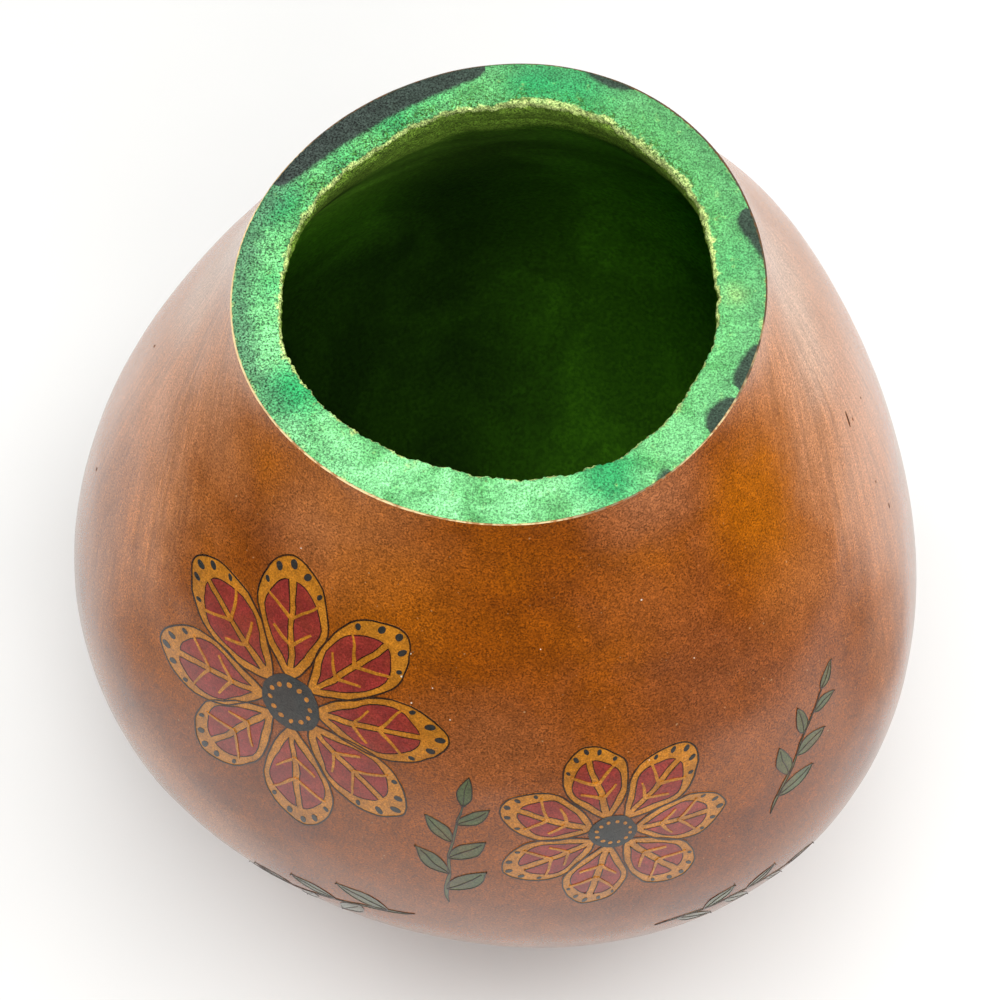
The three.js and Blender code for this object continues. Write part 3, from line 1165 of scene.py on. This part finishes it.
def porous_pith(colours):
    """Raw, spongy wall under the rind."""
    material, tree, sockets = new_material("Porous pith", specular_ior_level=0.2)
    place = object_place(tree)
    cells = noise(tree, place, 900.0, 3.0, 0.7)
    colour_now = shaded(tree, plain(tree, colours.pith), ranged(tree, cells, 0.3, 0.7, 0.75, 1.1))
    tree.links.new(colour_now, sockets["Base Color"])
    tree.links.new(ranged(tree, cells, 0.2, 0.8, 0.8, 1.0), sockets["Roughness"])
    bump(tree, sockets, cells, 0.3 * MM, 0.6)
    return material


def corky_scar(colours):
    """Dry cork with dark lumps."""
    material, tree, sockets = new_material("Corky scar", specular_ior_level=0.2)
    place = object_place(tree)
    lumps = noise(tree, place, 500.0, 4.0, 0.65, 0.5)
    colour_now = mixed(tree, lumps, colours.cork, colours.burnt)
    colour_now = shaded(tree, colour_now, ranged(tree, lumps, 0.3, 0.7, 0.8, 1.3))
    tree.links.new(colour_now, sockets["Base Color"])
    tree.links.new(ranged(tree, lumps, 0.2, 0.8, 0.75, 0.95), sockets["Roughness"])
    bump(tree, sockets, lumps, 0.3 * MM, 0.7)
    return material


def brushed_paint(name, colour_value, colours, worn):
    """Thin paint that lets some of the stained rind through, under the same varnish."""
    material, tree, sockets = new_material(
        name, coat_weight=1.0, coat_ior=1.6, coat_roughness=0.2, specular_ior_level=0.03
    )
    place = object_place(tree)
    thin = cloud_mask(tree, place, 120.0, 0.35, 0.75)
    colour_now = mixed(tree, times(tree, thin, worn), colour_value, colours.stain)
    mottle = noise(tree, place, 260.0, 4.0, 0.65, 0.3)
    colour_now = shaded(tree, colour_now, ranged(tree, mottle, 0.3, 0.7, 0.8, 1.2))
    grain = speckle(tree, place, 2600.0, 0.28)
    colour_now = shaded(tree, colour_now, grain["Shade"])
    tree.links.new(colour_now, sockets["Base Color"])
    tree.links.new(ranged(tree, thin, 0.0, 1.0, 0.42, 0.55), sockets["Roughness"])
    bump(tree, sockets, grain["Height"], 0.12 * MM, 0.3)
    return material


def dark_nick(colours):
    """Bare dark fibre in a nick, without varnish."""
    material, tree, sockets = new_material("Dark nicks", specular_ior_level=0.1)
    fibre = noise(tree, object_place(tree), 1800.0, 2.0)
    colour_now = mixed(tree, ranged(tree, fibre, 0.4, 0.8), colours.burnt, colours.stain_deep)
    tree.links.new(colour_now, sockets["Base Color"])
    tree.links.new(ranged(tree, fibre, 0.2, 0.8, 0.7, 0.9), sockets["Roughness"])
    return material


def pale_drop(colours):
    """A dried drop of varnish with dust in it."""
    material, tree, sockets = new_material("Pale drop", specular_ior_level=0.5)
    place = object_place(tree)
    dust = noise(tree, place, 3000.0, 2.0)
    tree.links.new(mixed(tree, dust, colours.bare_cream, colours.floor), sockets["Base Color"])
    tree.links.new(ranged(tree, dust, 0.2, 0.8, 0.3, 0.5), sockets["Roughness"])
    return material


def pale_floor(colours):
    """A faintly uneven pale floor."""
    material, tree, sockets = new_material("Pale floor", specular_ior_level=0.1)
    place = object_place(tree)
    uneven = noise(tree, place, 9.0, 3.0)
    colour_now = shaded(tree, plain(tree, colours.floor), ranged(tree, uneven, 0.3, 0.7, 0.98, 1.0))
    tree.links.new(colour_now, sockets["Base Color"])
    tree.links.new(ranged(tree, uneven, 0.2, 0.8, 0.85, 0.95), sockets["Roughness"])
    return material


def settings(context):
    """The sizes, the design and the colours that the panel shows."""
    scene = context.scene
    return scene.vase_sizes, scene.vase_design, scene.vase_colours


class VASE_OT_stained_skin(bpy.types.Operator):
    """Turns the rind, lets it grow uneven, gives it its thickness and saws it open"""

    bl_idname = "vase.stained_skin"
    bl_label = "Stained skin"
    bl_options = {"REGISTER", "UNDO"}

    # Slow swells: size of the lumps, height at which they start, and way from there to full strength
    SWELL_LUMPS = 26 * MM
    SWELL_START = 4 * MM
    SWELL_RISE = 30 * MM

    def execute(self, context):
        sizes, _, colours = settings(context)
        shape = GourdShape(sizes)
        hole = sizes.blossom_radius + sizes.bond
        flat = [(radius, 0) for radius in np.linspace(hole, sizes.base_radius, FLAT_RINGS)[:-1]]
        skin = turned("stained_skin", [*flat, *shape.outline(0)], SKIN_STEPS)
        move_points(skin, shape.grow(points_of(skin)))
        lifted = smooth_step((points_of(skin)[:, 2] - self.SWELL_START) / self.SWELL_RISE)
        group = weigh(skin, "free", lifted)
        roughened(skin, clouds("Swells", self.SWELL_LUMPS), sizes.swells, vertex_group=group)
        skin.vertex_groups.clear()
        finished(skin, "SOLIDIFY", thickness=sizes.rind_thickness, offset=-1)
        sawn(skin, shape.cut_point, shape.cut_normal)
        bpy.ops.object.shade_smooth_by_angle(angle=math.radians(35))
        hand_over(skin, "stained_rind", stained_rind(colours), raw_edge(colours), replaces=("gourd_rind",))
        up = Vector(shape.cut_normal)
        level = up.dot(Vector(shape.cut_point))

        def on_cut(face):
            return all(abs(vert.co.dot(up) - level) < 10 * MERGE for vert in face.verts)

        with editing(skin):
            select(skin, "FACE", on_cut)
            skin.active_material_index = 1
            bpy.ops.object.material_slot_assign()
        return {"FINISHED"}


class VASE_OT_painted_inside(bpy.types.Operator):
    """Turns the scraped inside with its thin coat of paint"""

    bl_idname = "vase.painted_inside"
    bl_label = "Painted inside"
    bl_options = {"REGISTER", "UNDO"}

    # Scrapes of the tool: size and depth of the lumps, how far below the mouth's height they start, and
    # the way from there to their full strength
    SCRAPE_LUMPS = 9 * MM
    SCRAPE_DEPTH = 0.7 * MM
    SCRAPE_START = 6 * MM
    SCRAPE_RISE = 14 * MM
    BELOW_CUT = 5 * MM  # how far below the saw cut the coat ends, behind the skirt of the rim

    def execute(self, context):
        sizes, _, colours = settings(context)
        shape = GourdShape(sizes)
        flat = [(radius, sizes.wall) for radius in np.linspace(0, sizes.base_radius, FLAT_RINGS)[:-1]]
        inside = turned("painted_inside", [*flat, *shape.outline(sizes.wall)], INSIDE_STEPS)
        move_points(inside, shape.scrape(shape.grow(points_of(inside))))
        depth = sizes.mouth_height - points_of(inside)[:, 2]
        group = weigh(inside, "deep", smooth_step((depth - self.SCRAPE_START) / self.SCRAPE_RISE))
        scrapes = clouds("Scrapes", self.SCRAPE_LUMPS, 3)
        roughened(inside, scrapes, -self.SCRAPE_DEPTH, vertex_group=group)
        inside.vertex_groups.clear()
        finished(inside, "SOLIDIFY", thickness=sizes.inside_coat, offset=1)
        below_rim = shape.cut_point - self.BELOW_CUT * shape.cut_normal
        sawn(inside, below_rim, shape.cut_normal)
        bpy.ops.object.shade_smooth_by_angle(angle=math.radians(50))
        paint = painted_inside(colours, shape)
        hand_over(inside, "dark_interior_paint", paint, replaces=("interior_paint",))
        return {"FINISHED"}


class VASE_OT_painted_rim(bpy.types.Operator):
    """Turns the green coat of the sawn face, with its pores and its ragged inner edge"""

    bl_idname = "vase.painted_rim"
    bl_label = "Painted rim"
    bl_options = {"REGISTER", "UNDO"}

    # Worn lip of the sawn face: how far short of the wall's full depth, and above the cut, in millimetres
    WORN_LIP = (
        (1.3, 0.27), (1.05, 0.12), (0.8, -0.12), (0.58, -0.42), (0.4, -0.78), (0.25, -1.2), (0.15, -1.7),
    )
    # Ragged inner edge: relief, size of its lumps, and its share of the raggedness
    RAGGED = (("Chips", 4.4 * MM, 1.15), ("Crumbs", 0.9 * MM, 0.8))
    PORE_LUMPS = 0.7 * MM
    FACE_ABOVE = 0.3 * MM  # height of the painted face over the cut
    FACE_RINGS = 22
    COAT = 0.06 * MM  # thickness of the paint
    SAME_RING = 0.01 * MM  # points this near to a ring belong to it

    # How far across the wall the scraped part and the ragged part start, and their ways to full strength
    SCRAPED_START, SCRAPED_WAY = 0.35, 0.5
    RAGGED_START, RAGGED_WAY = 0.62, 0.32
    # Depth below the cut at which the ragged part starts to fade, and its way to the end
    FADE_START, FADE_WAY = 1.7 * MM, 2.5 * MM

    def execute(self, context):
        sizes, _, colours = settings(context)
        shape = GourdShape(sizes)
        rings = self.rings(sizes)
        wide = 2 * sizes.mouth_radius  # room to turn the rings, before each moves to its place in the wall
        rim = turned("painted_rim", [(wide - depth, above) for depth, above in rings], RIM_STEPS)
        flat = points_of(rim)
        depth = wide - np.hypot(flat[:, 0], flat[:, 1])
        above = flat[:, 2]
        facing = np.arctan2(flat[:, 1], flat[:, 0])
        places = np.empty_like(flat)
        for ring_depth, ring_above in rings:
            ring = np.hypot(depth - ring_depth, above - ring_above) < self.SAME_RING
            places[ring] = shape.on_wall(facing[ring], ring_depth, ring_above)
        across = (depth - sizes.bare_edge) / (sizes.wall - sizes.bare_edge)
        scraped = smooth_step((across - self.SCRAPED_START) / self.SCRAPED_WAY)
        move_points(rim, shape.scrape(places, scraped))
        mark(rim, "across", across)
        reach = self.stain_reach(facing)
        mark(rim, "stain", np.where(reach > 0, reach - across, -1))
        ragged = np.clip((across - self.RAGGED_START) / self.RAGGED_WAY, 0, 1) ** 1.5
        ragged = ragged * np.clip(1 - (-above - self.FADE_START) / self.FADE_WAY, 0, 1)
        group = weigh(rim, "inner_edge", ragged)
        for name, scale, part in self.RAGGED:
            roughened(rim, clouds(name, scale, 3), sizes.crumbs * part, vertex_group=group)
        rim.vertex_groups.clear()
        roughened(rim, clouds("Pores", self.PORE_LUMPS, 1), sizes.pores)
        finished(rim, "SOLIDIFY", thickness=self.COAT, offset=-1)
        bpy.ops.object.shade_smooth_by_angle(angle=math.radians(60))
        hand_over(rim, "green_rim_paint", painted_rim(colours, shape), replaces=("rim_paint",))
        return {"FINISHED"}

    def rings(self, sizes):
        """Depth in the wall and height over the cut of each ring, from the outer edge to the tuck inside."""
        wall = sizes.wall
        outer = [(sizes.bare_edge, 0.12 * MM), (sizes.bare_edge + 0.25 * MM, 0.22 * MM)]
        across = np.linspace(sizes.bare_edge + 0.6 * MM, wall - 1.6 * MM, self.FACE_RINGS)
        face = [(depth, self.FACE_ABOVE) for depth in across]
        lip = [(wall - short * MM, above * MM) for short, above in self.WORN_LIP]
        skirt = [(wall - 0.1 * MM, -2.2 * MM), (wall + 0.1 * MM, -2.9 * MM)]
        skirt += [(wall + 0.2 * MM, -below) for below in np.linspace(3.6, 6.2, 5) * MM]
        tuck = [(wall, -6.8 * MM), (wall - 0.3 * MM, -7.4 * MM)]
        return [*outer, *face, *lip, *skirt, *tuck]

    def stain_reach(self, facing):
        """How far across the wall the dark stains reach in these directions, or -1 beside them."""
        reach = np.full(len(facing), -1.0)
        for start, end, far, peak, slim in RIM_STAINS:
            along = ((np.degrees(facing) - start) % 360) / (end - start)
            stained = along < 1
            bow = np.sin(math.pi * along[stained] ** (math.log(0.5) / math.log(peak)))
            reach[stained] = np.maximum(reach[stained], far * bow ** slim)
        return reach


class VASE_OT_pith_wall(bpy.types.Operator):
    """Turns the spongy wall between the rind and the inside coat, sawn a little below the painted face"""

    bl_idname = "vase.pith_wall"
    bl_label = "Pith wall"
    bl_options = {"REGISTER", "UNDO"}

    BELOW_CUT = 1.2 * MM

    def execute(self, context):
        sizes, _, colours = settings(context)
        shape = GourdShape(sizes)
        near = sizes.rind_thickness + sizes.bond
        far = sizes.wall - sizes.inside_coat - sizes.bond
        profile = [(0, near), *shape.outline(near), *shape.outline(far)[::-1], (0, far)]
        pith = turned("spongy_pith", profile, PITH_STEPS)
        flat = points_of(pith)
        turned_points = np.stack((np.hypot(flat[:, 0], flat[:, 1]), flat[:, 2]), 1)
        to_near, to_far = (
            np.linalg.norm(turned_points[:, None] - shape.outline(depth), axis=2).min(1)
            for depth in (near, far)
        )
        move_points(pith, shape.scrape(shape.grow(flat), to_far < to_near))
        below_rim = shape.cut_point - self.BELOW_CUT * shape.cut_normal
        sawn(pith, below_rim, shape.cut_normal)
        bpy.ops.object.shade_smooth_by_angle(angle=math.radians(40))
        hand_over(pith, "gourd_pith", porous_pith(colours), replaces=("pith_wall",))
        return {"FINISHED"}


class VASE_OT_blossom_scar(bpy.types.Operator):
    """Turns the ringed corky scar in the middle of the underside"""

    bl_idname = "vase.blossom_scar"
    bl_label = "Blossom scar"
    bl_options = {"REGISTER", "UNDO"}

    # Face of the scar: points from the middle out, height over its recess, then, in millimetres, the
    # hollow of the middle and the height of the rings
    POINTS = 25
    FACE_ABOVE = 0.12 * MM
    HOLLOW = 0.3
    RINGS = 0.08
    # Lumps of the cork: their size and height
    LUMPS = 1.4 * MM
    LUMP_HEIGHT = 0.25 * MM

    def execute(self, context):
        sizes, _, colours = settings(context)
        shape = GourdShape(sizes)
        radius = sizes.blossom_radius
        shares = np.linspace(0, 1, self.POINTS)
        hollow = self.HOLLOW * np.cos(shares * math.pi / 2) ** 2
        hollow = hollow + self.RINGS * np.cos(shares * 6 * math.pi)
        low = sizes.blossom_recess + self.FACE_ABOVE
        face = [(radius * part, low + dip * MM) for part, dip in zip(shares, hollow)]
        back = [(radius, sizes.rind_thickness), (0, sizes.rind_thickness)]
        scar = turned("blossom_scar", [*face, *back], SCAR_STEPS)
        move_points(scar, shape.grow(points_of(scar)))
        roughened(scar, clouds("Cork lumps", self.LUMPS), self.LUMP_HEIGHT)
        bpy.ops.object.shade_smooth_by_angle(angle=math.radians(40))
        hand_over(scar, "blossom_cork", corky_scar(colours), replaces=("blossom_button",))
        return {"FINISHED"}


def eased(count):
    """Shares from 0 to 1 that crowd at both ends."""
    return (1 - np.cos(np.linspace(0, math.pi, count))) / 2


def petal_form(along):
    """Half-width of a petal, of its widest, from its foot to its tip."""
    return np.maximum(0.001, np.sin(math.pi * np.clip(along, 0, 1) ** 1.3)) ** 0.58


def leaf_form(along):
    """Half-width of a leaf, of its widest, from its foot to its tip."""
    return np.maximum(0.0005, np.sin(math.pi * np.clip(along, 0, 1) ** 0.85)) ** 0.95


class FlowerPattern:
    """The flat pattern of one flower, as lists of shapes for each layer of paint."""

    # Dots in the tip of a petal: place across it, of its half-width, place along it, and size
    TIP_DOTS = (
        (0, 0.93, 1.0),
        (-0.46, 0.87, 0.95),
        (0.46, 0.87, 0.95),
        (-0.8, 0.74, 0.7),
        (0.8, 0.74, 0.7),
    )
    # Panels and side veins, by their places along a petal, and the lean of the veins
    PANEL_START = 0.12
    PANEL_RUN = 0.68
    VEIN_PLACES = (0.3, 0.5)
    VEIN_LEAN = math.radians(52)
    # How far a petal may be turned, in radians, and how small or large it may be
    TURN_SWING = 0.035
    GROWN = (0.95, 1.04)
    # Seeds: how many, their radius and the radius of their ring, both of the heart's radius
    SEEDS = 12
    SEED_RADIUS = 0.085
    SEED_RING = 0.68

    def __init__(self, design, radius, petals, seed):
        self.design = design
        self.radius = radius
        self.foot = design.heart * radius * 0.8
        self.reach = radius - self.foot
        self.width = design.petal_width * radius * 8 / petals
        self.layers = {"petals": [], "panels": [], "veins": [], "lines": [], "dots": [], "hearts": []}
        motif = self.petal_motif()
        draw = random.Random(seed)
        for number in range(petals):
            turn = 2 * math.pi * number / petals + draw.uniform(-self.TURN_SWING, self.TURN_SWING)
            grown = draw.uniform(*self.GROWN)
            placing = Matrix.Rotation(turn, 4, "Z") @ Matrix.Diagonal((grown, grown, 1, 1))
            for layer, shapes in motif.items():
                for shape in shapes:
                    self.layers[layer].append(copied(shape, layer, placing))
        for shapes in motif.values():
            discard(*shapes)
        self.add_heart()

    def half(self, along):
        """Half-width of a petal at a place along it."""
        return self.width * petal_form(along)

    def petal_motif(self):
        """The shapes of one petal, which points up."""
        design = self.design
        along = eased(26)
        rows = [(self.foot + self.reach * t, -self.half(t), self.half(t)) for t in along]
        petal = strip("petal", rows, 10)
        lines = [border_line(petal, "petal_line", design.line)]
        panels = []
        parts = eased(20)
        for side in (-1, 1):
            rows = []
            for t, part in zip(self.PANEL_START + self.PANEL_RUN * parts, parts):
                near = design.vein / 2
                room = max(0.0, self.half(t) - design.border - near)
                far = near + room * max(0.0, math.sin(math.pi * part)) ** 0.4
                edges = sorted((side * near, side * far))
                rows.append((self.foot + self.reach * t, *edges))
            panels.append(strip("panel", rows, 4))
        lines += [border_line(panel, "panel_line", design.line * 0.6) for panel in panels]
        return {
            "petals": [petal],
            "panels": panels,
            "veins": self.side_veins(),
            "lines": lines,
            "dots": self.tip_dots(),
        }

    def side_veins(self):
        """Slanting veins across the panels."""
        veins = []
        for t in self.VEIN_PLACES:
            reach = (self.half(t) - self.design.border * 0.5) * 1.05
            width = self.design.vein * 0.3
            rows = []
            for part in np.linspace(0, 1, 6):
                half = width * (1 - 0.4 * part)
                rows.append((reach * part, -half, half))
            for side in (-1, 1):
                vein = strip("vein", rows, 1)
                lean = Matrix.Rotation(-side * self.VEIN_LEAN, 4, "Z")
                vein.data.transform(Matrix.Translation((0, self.foot + self.reach * t, 0)) @ lean)
                veins.append(vein)
        return veins

    def tip_dots(self):
        """Dark oval dots in the ochre tip."""
        dots = []
        for across, t, size in self.TIP_DOTS:
            dot = disc("dot", 1.0, 1, 16)
            long = self.design.dot * size * min(1.0, self.radius / self.design.large_radius)
            place = Matrix.Translation((across * self.half(min(t, 0.8)), self.foot + self.reach * t, 0))
            lean = Matrix.Rotation(-0.5 * across, 4, "Z")
            dot.data.transform(place @ lean @ Matrix.Diagonal((long * 0.66, long, 1, 1)))
            dots.append(dot)
        return dots

    def add_heart(self):
        """The dark middle with a ring of ochre dots."""
        radius = self.design.heart * self.radius
        self.layers["hearts"].append(disc("heart", radius, 4, 40))
        for number in range(self.SEEDS):
            seed = disc("seed", radius * self.SEED_RADIUS, 1, 12)
            turn = Matrix.Rotation(2 * math.pi * number / self.SEEDS, 4, "Z")
            seed.data.transform(turn @ Matrix.Translation((0, radius * self.SEED_RING, 0)))
            self.layers["veins"].append(seed)


class VASE_OT_flowers(bpy.types.Operator):
    """Paints the two flowers on the front of the skin"""

    bl_idname = "vase.flowers"
    bl_label = "Flowers"
    bl_options = {"REGISTER", "UNDO"}

    TILT = math.radians(11)

    def execute(self, context):
        sizes, design, colours = settings(context)
        shape = GourdShape(sizes)
        skin = bpy.data.objects["stained_skin"]
        finishes = {
            "petals": ("ochre_paint", brushed_paint("Ochre petals", colours.ochre, colours, 0.25)),
            "panels": ("brick_red_paint", brushed_paint("Brick-red panels", colours.red, colours, 0.2)),
            "veins": ("ochre_paint", brushed_paint("Ochre veins", colours.ochre, colours, 0.3)),
            "lines": ("burnt_line", brushed_paint("Burnt outlines", colours.burnt, colours, 0.1)),
            "dots": ("charcoal_paint", brushed_paint("Charcoal dots", colours.charcoal, colours, 0.05)),
            "hearts": ("charcoal_paint", brushed_paint("Charcoal hearts", colours.charcoal, colours, 0.05)),
        }
        flowers = (
            ("large_flower", LARGE_FLOWER_SEAT, design.large_radius, design.large_petals, 5),
            ("small_flower", SMALL_FLOWER_SEAT, design.small_radius, design.small_petals, 11),
        )
        for name, place, radius, petals, seed in flowers:
            pattern = FlowerPattern(design, radius, petals, seed)
            seat = shape.seat(*place) @ Matrix.Rotation(self.TILT, 4, "Z")
            for layer, shapes in pattern.layers.items():
                piece = unsteady(joined(f"{name}_{layer}", shapes))
                laid_on(piece, skin, seat, LAYER_LIFT[layer] * MM, design.paint)
                slot, material = finishes[layer]
                hand_over(piece, slot, material)
        return {"FINISHED"}


class VASE_OT_leaf_sprays(bpy.types.Operator):
    """Paints sprays of lance-shaped leaves between and beside the flowers"""

    bl_idname = "vase.leaf_sprays"
    bl_label = "Leaf sprays"
    bl_options = {"REGISTER", "UNDO"}

    # Leaves along a stem, of its length, with the last one at the tip, and their lean to either side
    LEAF_PLACES = (0.16, 0.34, 0.5, 0.66, 0.82, 0.98)
    LEAF_LEAN = math.radians(44)
    RIB_HALF = 0.16 * MM

    def execute(self, context):
        sizes, design, colours = settings(context)
        shape = GourdShape(sizes)
        skin = bpy.data.objects["stained_skin"]
        green = brushed_paint("Leaf green", colours.leaf, colours, 0.2)
        burnt = brushed_paint("Burnt leaf lines", colours.burnt, colours, 0.1)
        pieces = {"leaves": [], "lines": []}
        for degrees, height, turn, bend, part in SPRAYS:
            seat = shape.seat(degrees, height) @ Matrix.Rotation(math.radians(turn), 4, "Z")
            for layer, shapes in self.spray(design, bend * MM).items():
                piece = joined(f"spray_{layer}", shapes)
                piece.data.transform(Matrix.Diagonal((part, part, 1, 1)))
                laid_on(unsteady(piece), skin, seat, LAYER_LIFT[layer] * MM, design.paint)
                pieces[layer].append(piece)
        hand_over(joined("leaf_sprays", pieces["leaves"]), "leaf_green_paint", green)
        hand_over(joined("leaf_spray_lines", pieces["lines"]), "burnt_line", burnt)
        return {"FINISHED"}

    def spray(self, design, bend):
        """The flat pattern of one spray, whose stem starts upright and bends to one side."""
        rows = []
        for t in np.linspace(0, 1, 16):
            middle = bend * t * t
            half = (0.75 - 0.45 * t) * min(1, 0.2 + 8 * t) * MM
            rows.append((design.stem * t, middle - half, middle + half))
        stem = strip("stem", rows, 2)
        leaf = self.leaf(design)
        along_rib = np.linspace(0.04, 0.86, 10)
        rib = strip("rib", [(design.leaf * t, -self.RIB_HALF, self.RIB_HALF) for t in along_rib], 1)
        leaves = [stem]
        lines = [border_line(stem, "stem_line", design.line * 0.6)]
        for number, t in enumerate(self.LEAF_PLACES):
            side = 1 if number % 2 else -1
            lean = 0 if t == self.LEAF_PLACES[-1] else side * self.LEAF_LEAN
            along = math.atan2(2 * bend * t, design.stem)
            size = 1 - 0.4 * t
            foot = Matrix.Translation((bend * t * t, design.stem * t, 0))
            turn = Matrix.Rotation(lean - along, 4, "Z")
            placing = foot @ turn @ Matrix.Diagonal((size, size, 1, 1))
            blade = copied(leaf, "leaf", placing)
            leaves.append(blade)
            lines.append(border_line(blade, "leaf_line", design.line * 0.8))
            lines.append(copied(rib, "rib", placing))
        discard(leaf, rib)
        return {"leaves": leaves, "lines": lines}

    def leaf(self, design):
        """The flat pattern of one leaf, which points up."""
        rows = []
        for t in eased(20):
            half = design.leaf_width * leaf_form(t)
            rows.append((design.leaf * t, -half, half))
        return strip("leaf", rows, 6)


class VASE_OT_marks(bpy.types.Operator):
    """Adds the tiny pale drops and dark nicks of the varnished skin"""

    bl_idname = "vase.marks"
    bl_label = "Drops and nicks"
    bl_options = {"REGISTER", "UNDO"}

    FIBRE_LEAN = math.radians(33)
    LIFT = 0.06 * MM
    THICKNESS = 0.2 * MM

    def execute(self, context):
        sizes, _, colours = settings(context)
        shape = GourdShape(sizes)
        skin = bpy.data.objects["stained_skin"]
        drops = self.scattered("varnish_drops", DROPS, shape, skin)
        hand_over(drops, "stained_rind", pale_drop(colours))
        nicks = self.scattered("rind_nicks", NICKS, shape, skin)
        hand_over(nicks, "burnt_line", dark_nick(colours))
        return {"FINISHED"}

    def scattered(self, name, places, shape, skin):
        """Small ovals on the skin, long in the way of its fibres, which lean to the front."""
        marks = []
        for degrees, height, wide, long in places:
            oval = disc(name, 0.5, 1, 12)
            oval.data.transform(Matrix.Diagonal((wide * MM, long * MM, 1, 1)))
            lean = Matrix.Rotation(-self.FIBRE_LEAN * math.cos(math.radians(degrees)), 4, "Z")
            seat = shape.seat(degrees, height) @ lean
            marks.append(laid_on(oval, skin, seat, self.LIFT, self.THICKNESS))
        return joined(name, marks)


class VASE_OT_stage(bpy.types.Operator):
    """Sets the vase on a pale floor under soft lamps, and aims the camera down at its front"""

    bl_idname = "vase.stage"
    bl_label = "Stage"
    bl_options = {"REGISTER", "UNDO"}

    # Camera, in millimetres
    CAMERA = (0.841, -229.991, 507.497)
    AIM = (0.841, -1.121, 96.3)
    LENS = 72

    # Pale floor, in metres: its sides, and how far its middle lies behind the vase
    FLOOR = (0.86, 1.2, 1)
    FLOOR_BACK = 0.16

    # Soft lamps: name, place and aim in metres, size in metres, power in watts
    LAMPS = (
        ("overhead", (0.05, -0.05, 1.2), (0, 0, 0.1), 1.1, 14),
        ("front", (0.25, -0.85, 0.95), (0, 0, 0.15), 0.7, 7),
        ("left", (-0.8, 0.3, 0.8), (0, 0, 0.1), 0.6, 3.2),
        ("right", (0.8, 0.2, 0.8), (0, 0, 0.1), 0.6, 3.4),
    )

    def execute(self, context):
        _, _, colours = settings(context)
        self.lay_floor(colours)
        self.hang_lamps(context)
        self.light_room(context)
        self.aim_camera(context)
        return {"FINISHED"}

    def lay_floor(self, colours):
        bpy.ops.object.select_all(action="DESELECT")
        bpy.ops.mesh.primitive_plane_add(size=1)
        floor = started("floor")
        with editing(floor):
            bpy.ops.mesh.select_all(action="SELECT")
            bpy.ops.transform.resize(value=self.FLOOR)
            bpy.ops.transform.translate(value=(0, self.FLOOR_BACK, 0))
        floor.data.materials.append(pale_floor(colours))

    def hang_lamps(self, context):
        for name, place, aim, size, power in self.LAMPS:
            lamp = bpy.data.lights.new(name, "AREA")
            lamp.size = size
            lamp.energy = power
            obj = bpy.data.objects.new(name, lamp)
            obj.location = place
            obj.rotation_euler = (Vector(aim) - Vector(place)).to_track_quat("-Z", "Y").to_euler()
            context.collection.objects.link(obj)

    def light_room(self, context):
        """Dim grey all round, which the camera sees as a pale backdrop."""
        world = bpy.data.worlds.new("Studio")
        world.use_nodes = True
        tree = world.node_tree
        tree.nodes.clear()
        dim = add_node(tree, "ShaderNodeBackground", {"Color": (1, 1, 1, 1), "Strength": 0.02})
        pale = add_node(tree, "ShaderNodeBackground", {"Color": (1, 1, 1, 1), "Strength": 1.0})
        seen = add_node(tree, "ShaderNodeLightPath").outputs["Is Camera Ray"]
        both = add_node(tree, "ShaderNodeMixShader", {0: seen, 1: dim.outputs[0], 2: pale.outputs[0]})
        add_node(tree, "ShaderNodeOutputWorld", {"Surface": both.outputs[0]})
        context.scene.world = world

    def aim_camera(self, context):
        lens = bpy.data.cameras.new("camera")
        lens.lens = self.LENS
        lens.sensor_width = 36
        camera = bpy.data.objects.new("camera", lens)
        place = Vector(self.CAMERA) * MM
        camera.location = place
        camera.rotation_euler = (Vector(self.AIM) * MM - place).to_track_quat("-Z", "Y").to_euler()
        lens.clip_start = 0.01
        context.collection.objects.link(camera)
        context.scene.camera = camera
        context.scene.view_settings.view_transform = "Standard"


class VASE_PT_panel(bpy.types.Panel):
    """Lists the steps that build the vase"""

    bl_idname = "VASE_PT_panel"
    bl_label = "Painted gourd vase"
    bl_space_type = "VIEW_3D"
    bl_region_type = "UI"
    bl_category = "Vase"

    def draw(self, context):
        for step in OPERATORS:
            self.layout.operator(step.bl_idname)
        for group in settings(context):
            box = self.layout.box()
            for name in group.__annotations__:
                box.prop(group, name)


OPERATORS = (
    VASE_OT_stained_skin,
    VASE_OT_painted_inside,
    VASE_OT_painted_rim,
    VASE_OT_pith_wall,
    VASE_OT_blossom_scar,
    VASE_OT_flowers,
    VASE_OT_leaf_sprays,
    VASE_OT_marks,
    VASE_OT_stage,
)
CLASSES = (VaseSizes, DesignSizes, VaseColours, *OPERATORS, VASE_PT_panel)


def register():
    for kind in CLASSES:
        bpy.utils.register_class(kind)
    bpy.types.Scene.vase_sizes = PointerProperty(type=VaseSizes)
    bpy.types.Scene.vase_design = PointerProperty(type=DesignSizes)
    bpy.types.Scene.vase_colours = PointerProperty(type=VaseColours)


def unregister():
    del bpy.types.Scene.vase_colours
    del bpy.types.Scene.vase_design
    del bpy.types.Scene.vase_sizes
    for kind in reversed(CLASSES):
        bpy.utils.unregister_class(kind)


def main():
    register()
    bpy.ops.vase.stained_skin()
    bpy.ops.vase.painted_inside()
    bpy.ops.vase.painted_rim()
    bpy.ops.vase.pith_wall()
    bpy.ops.vase.blossom_scar()
    bpy.ops.vase.flowers()
    bpy.ops.vase.leaf_sprays()
    bpy.ops.vase.marks()
    bpy.ops.vase.stage()


if __name__ == "__main__":
    main()
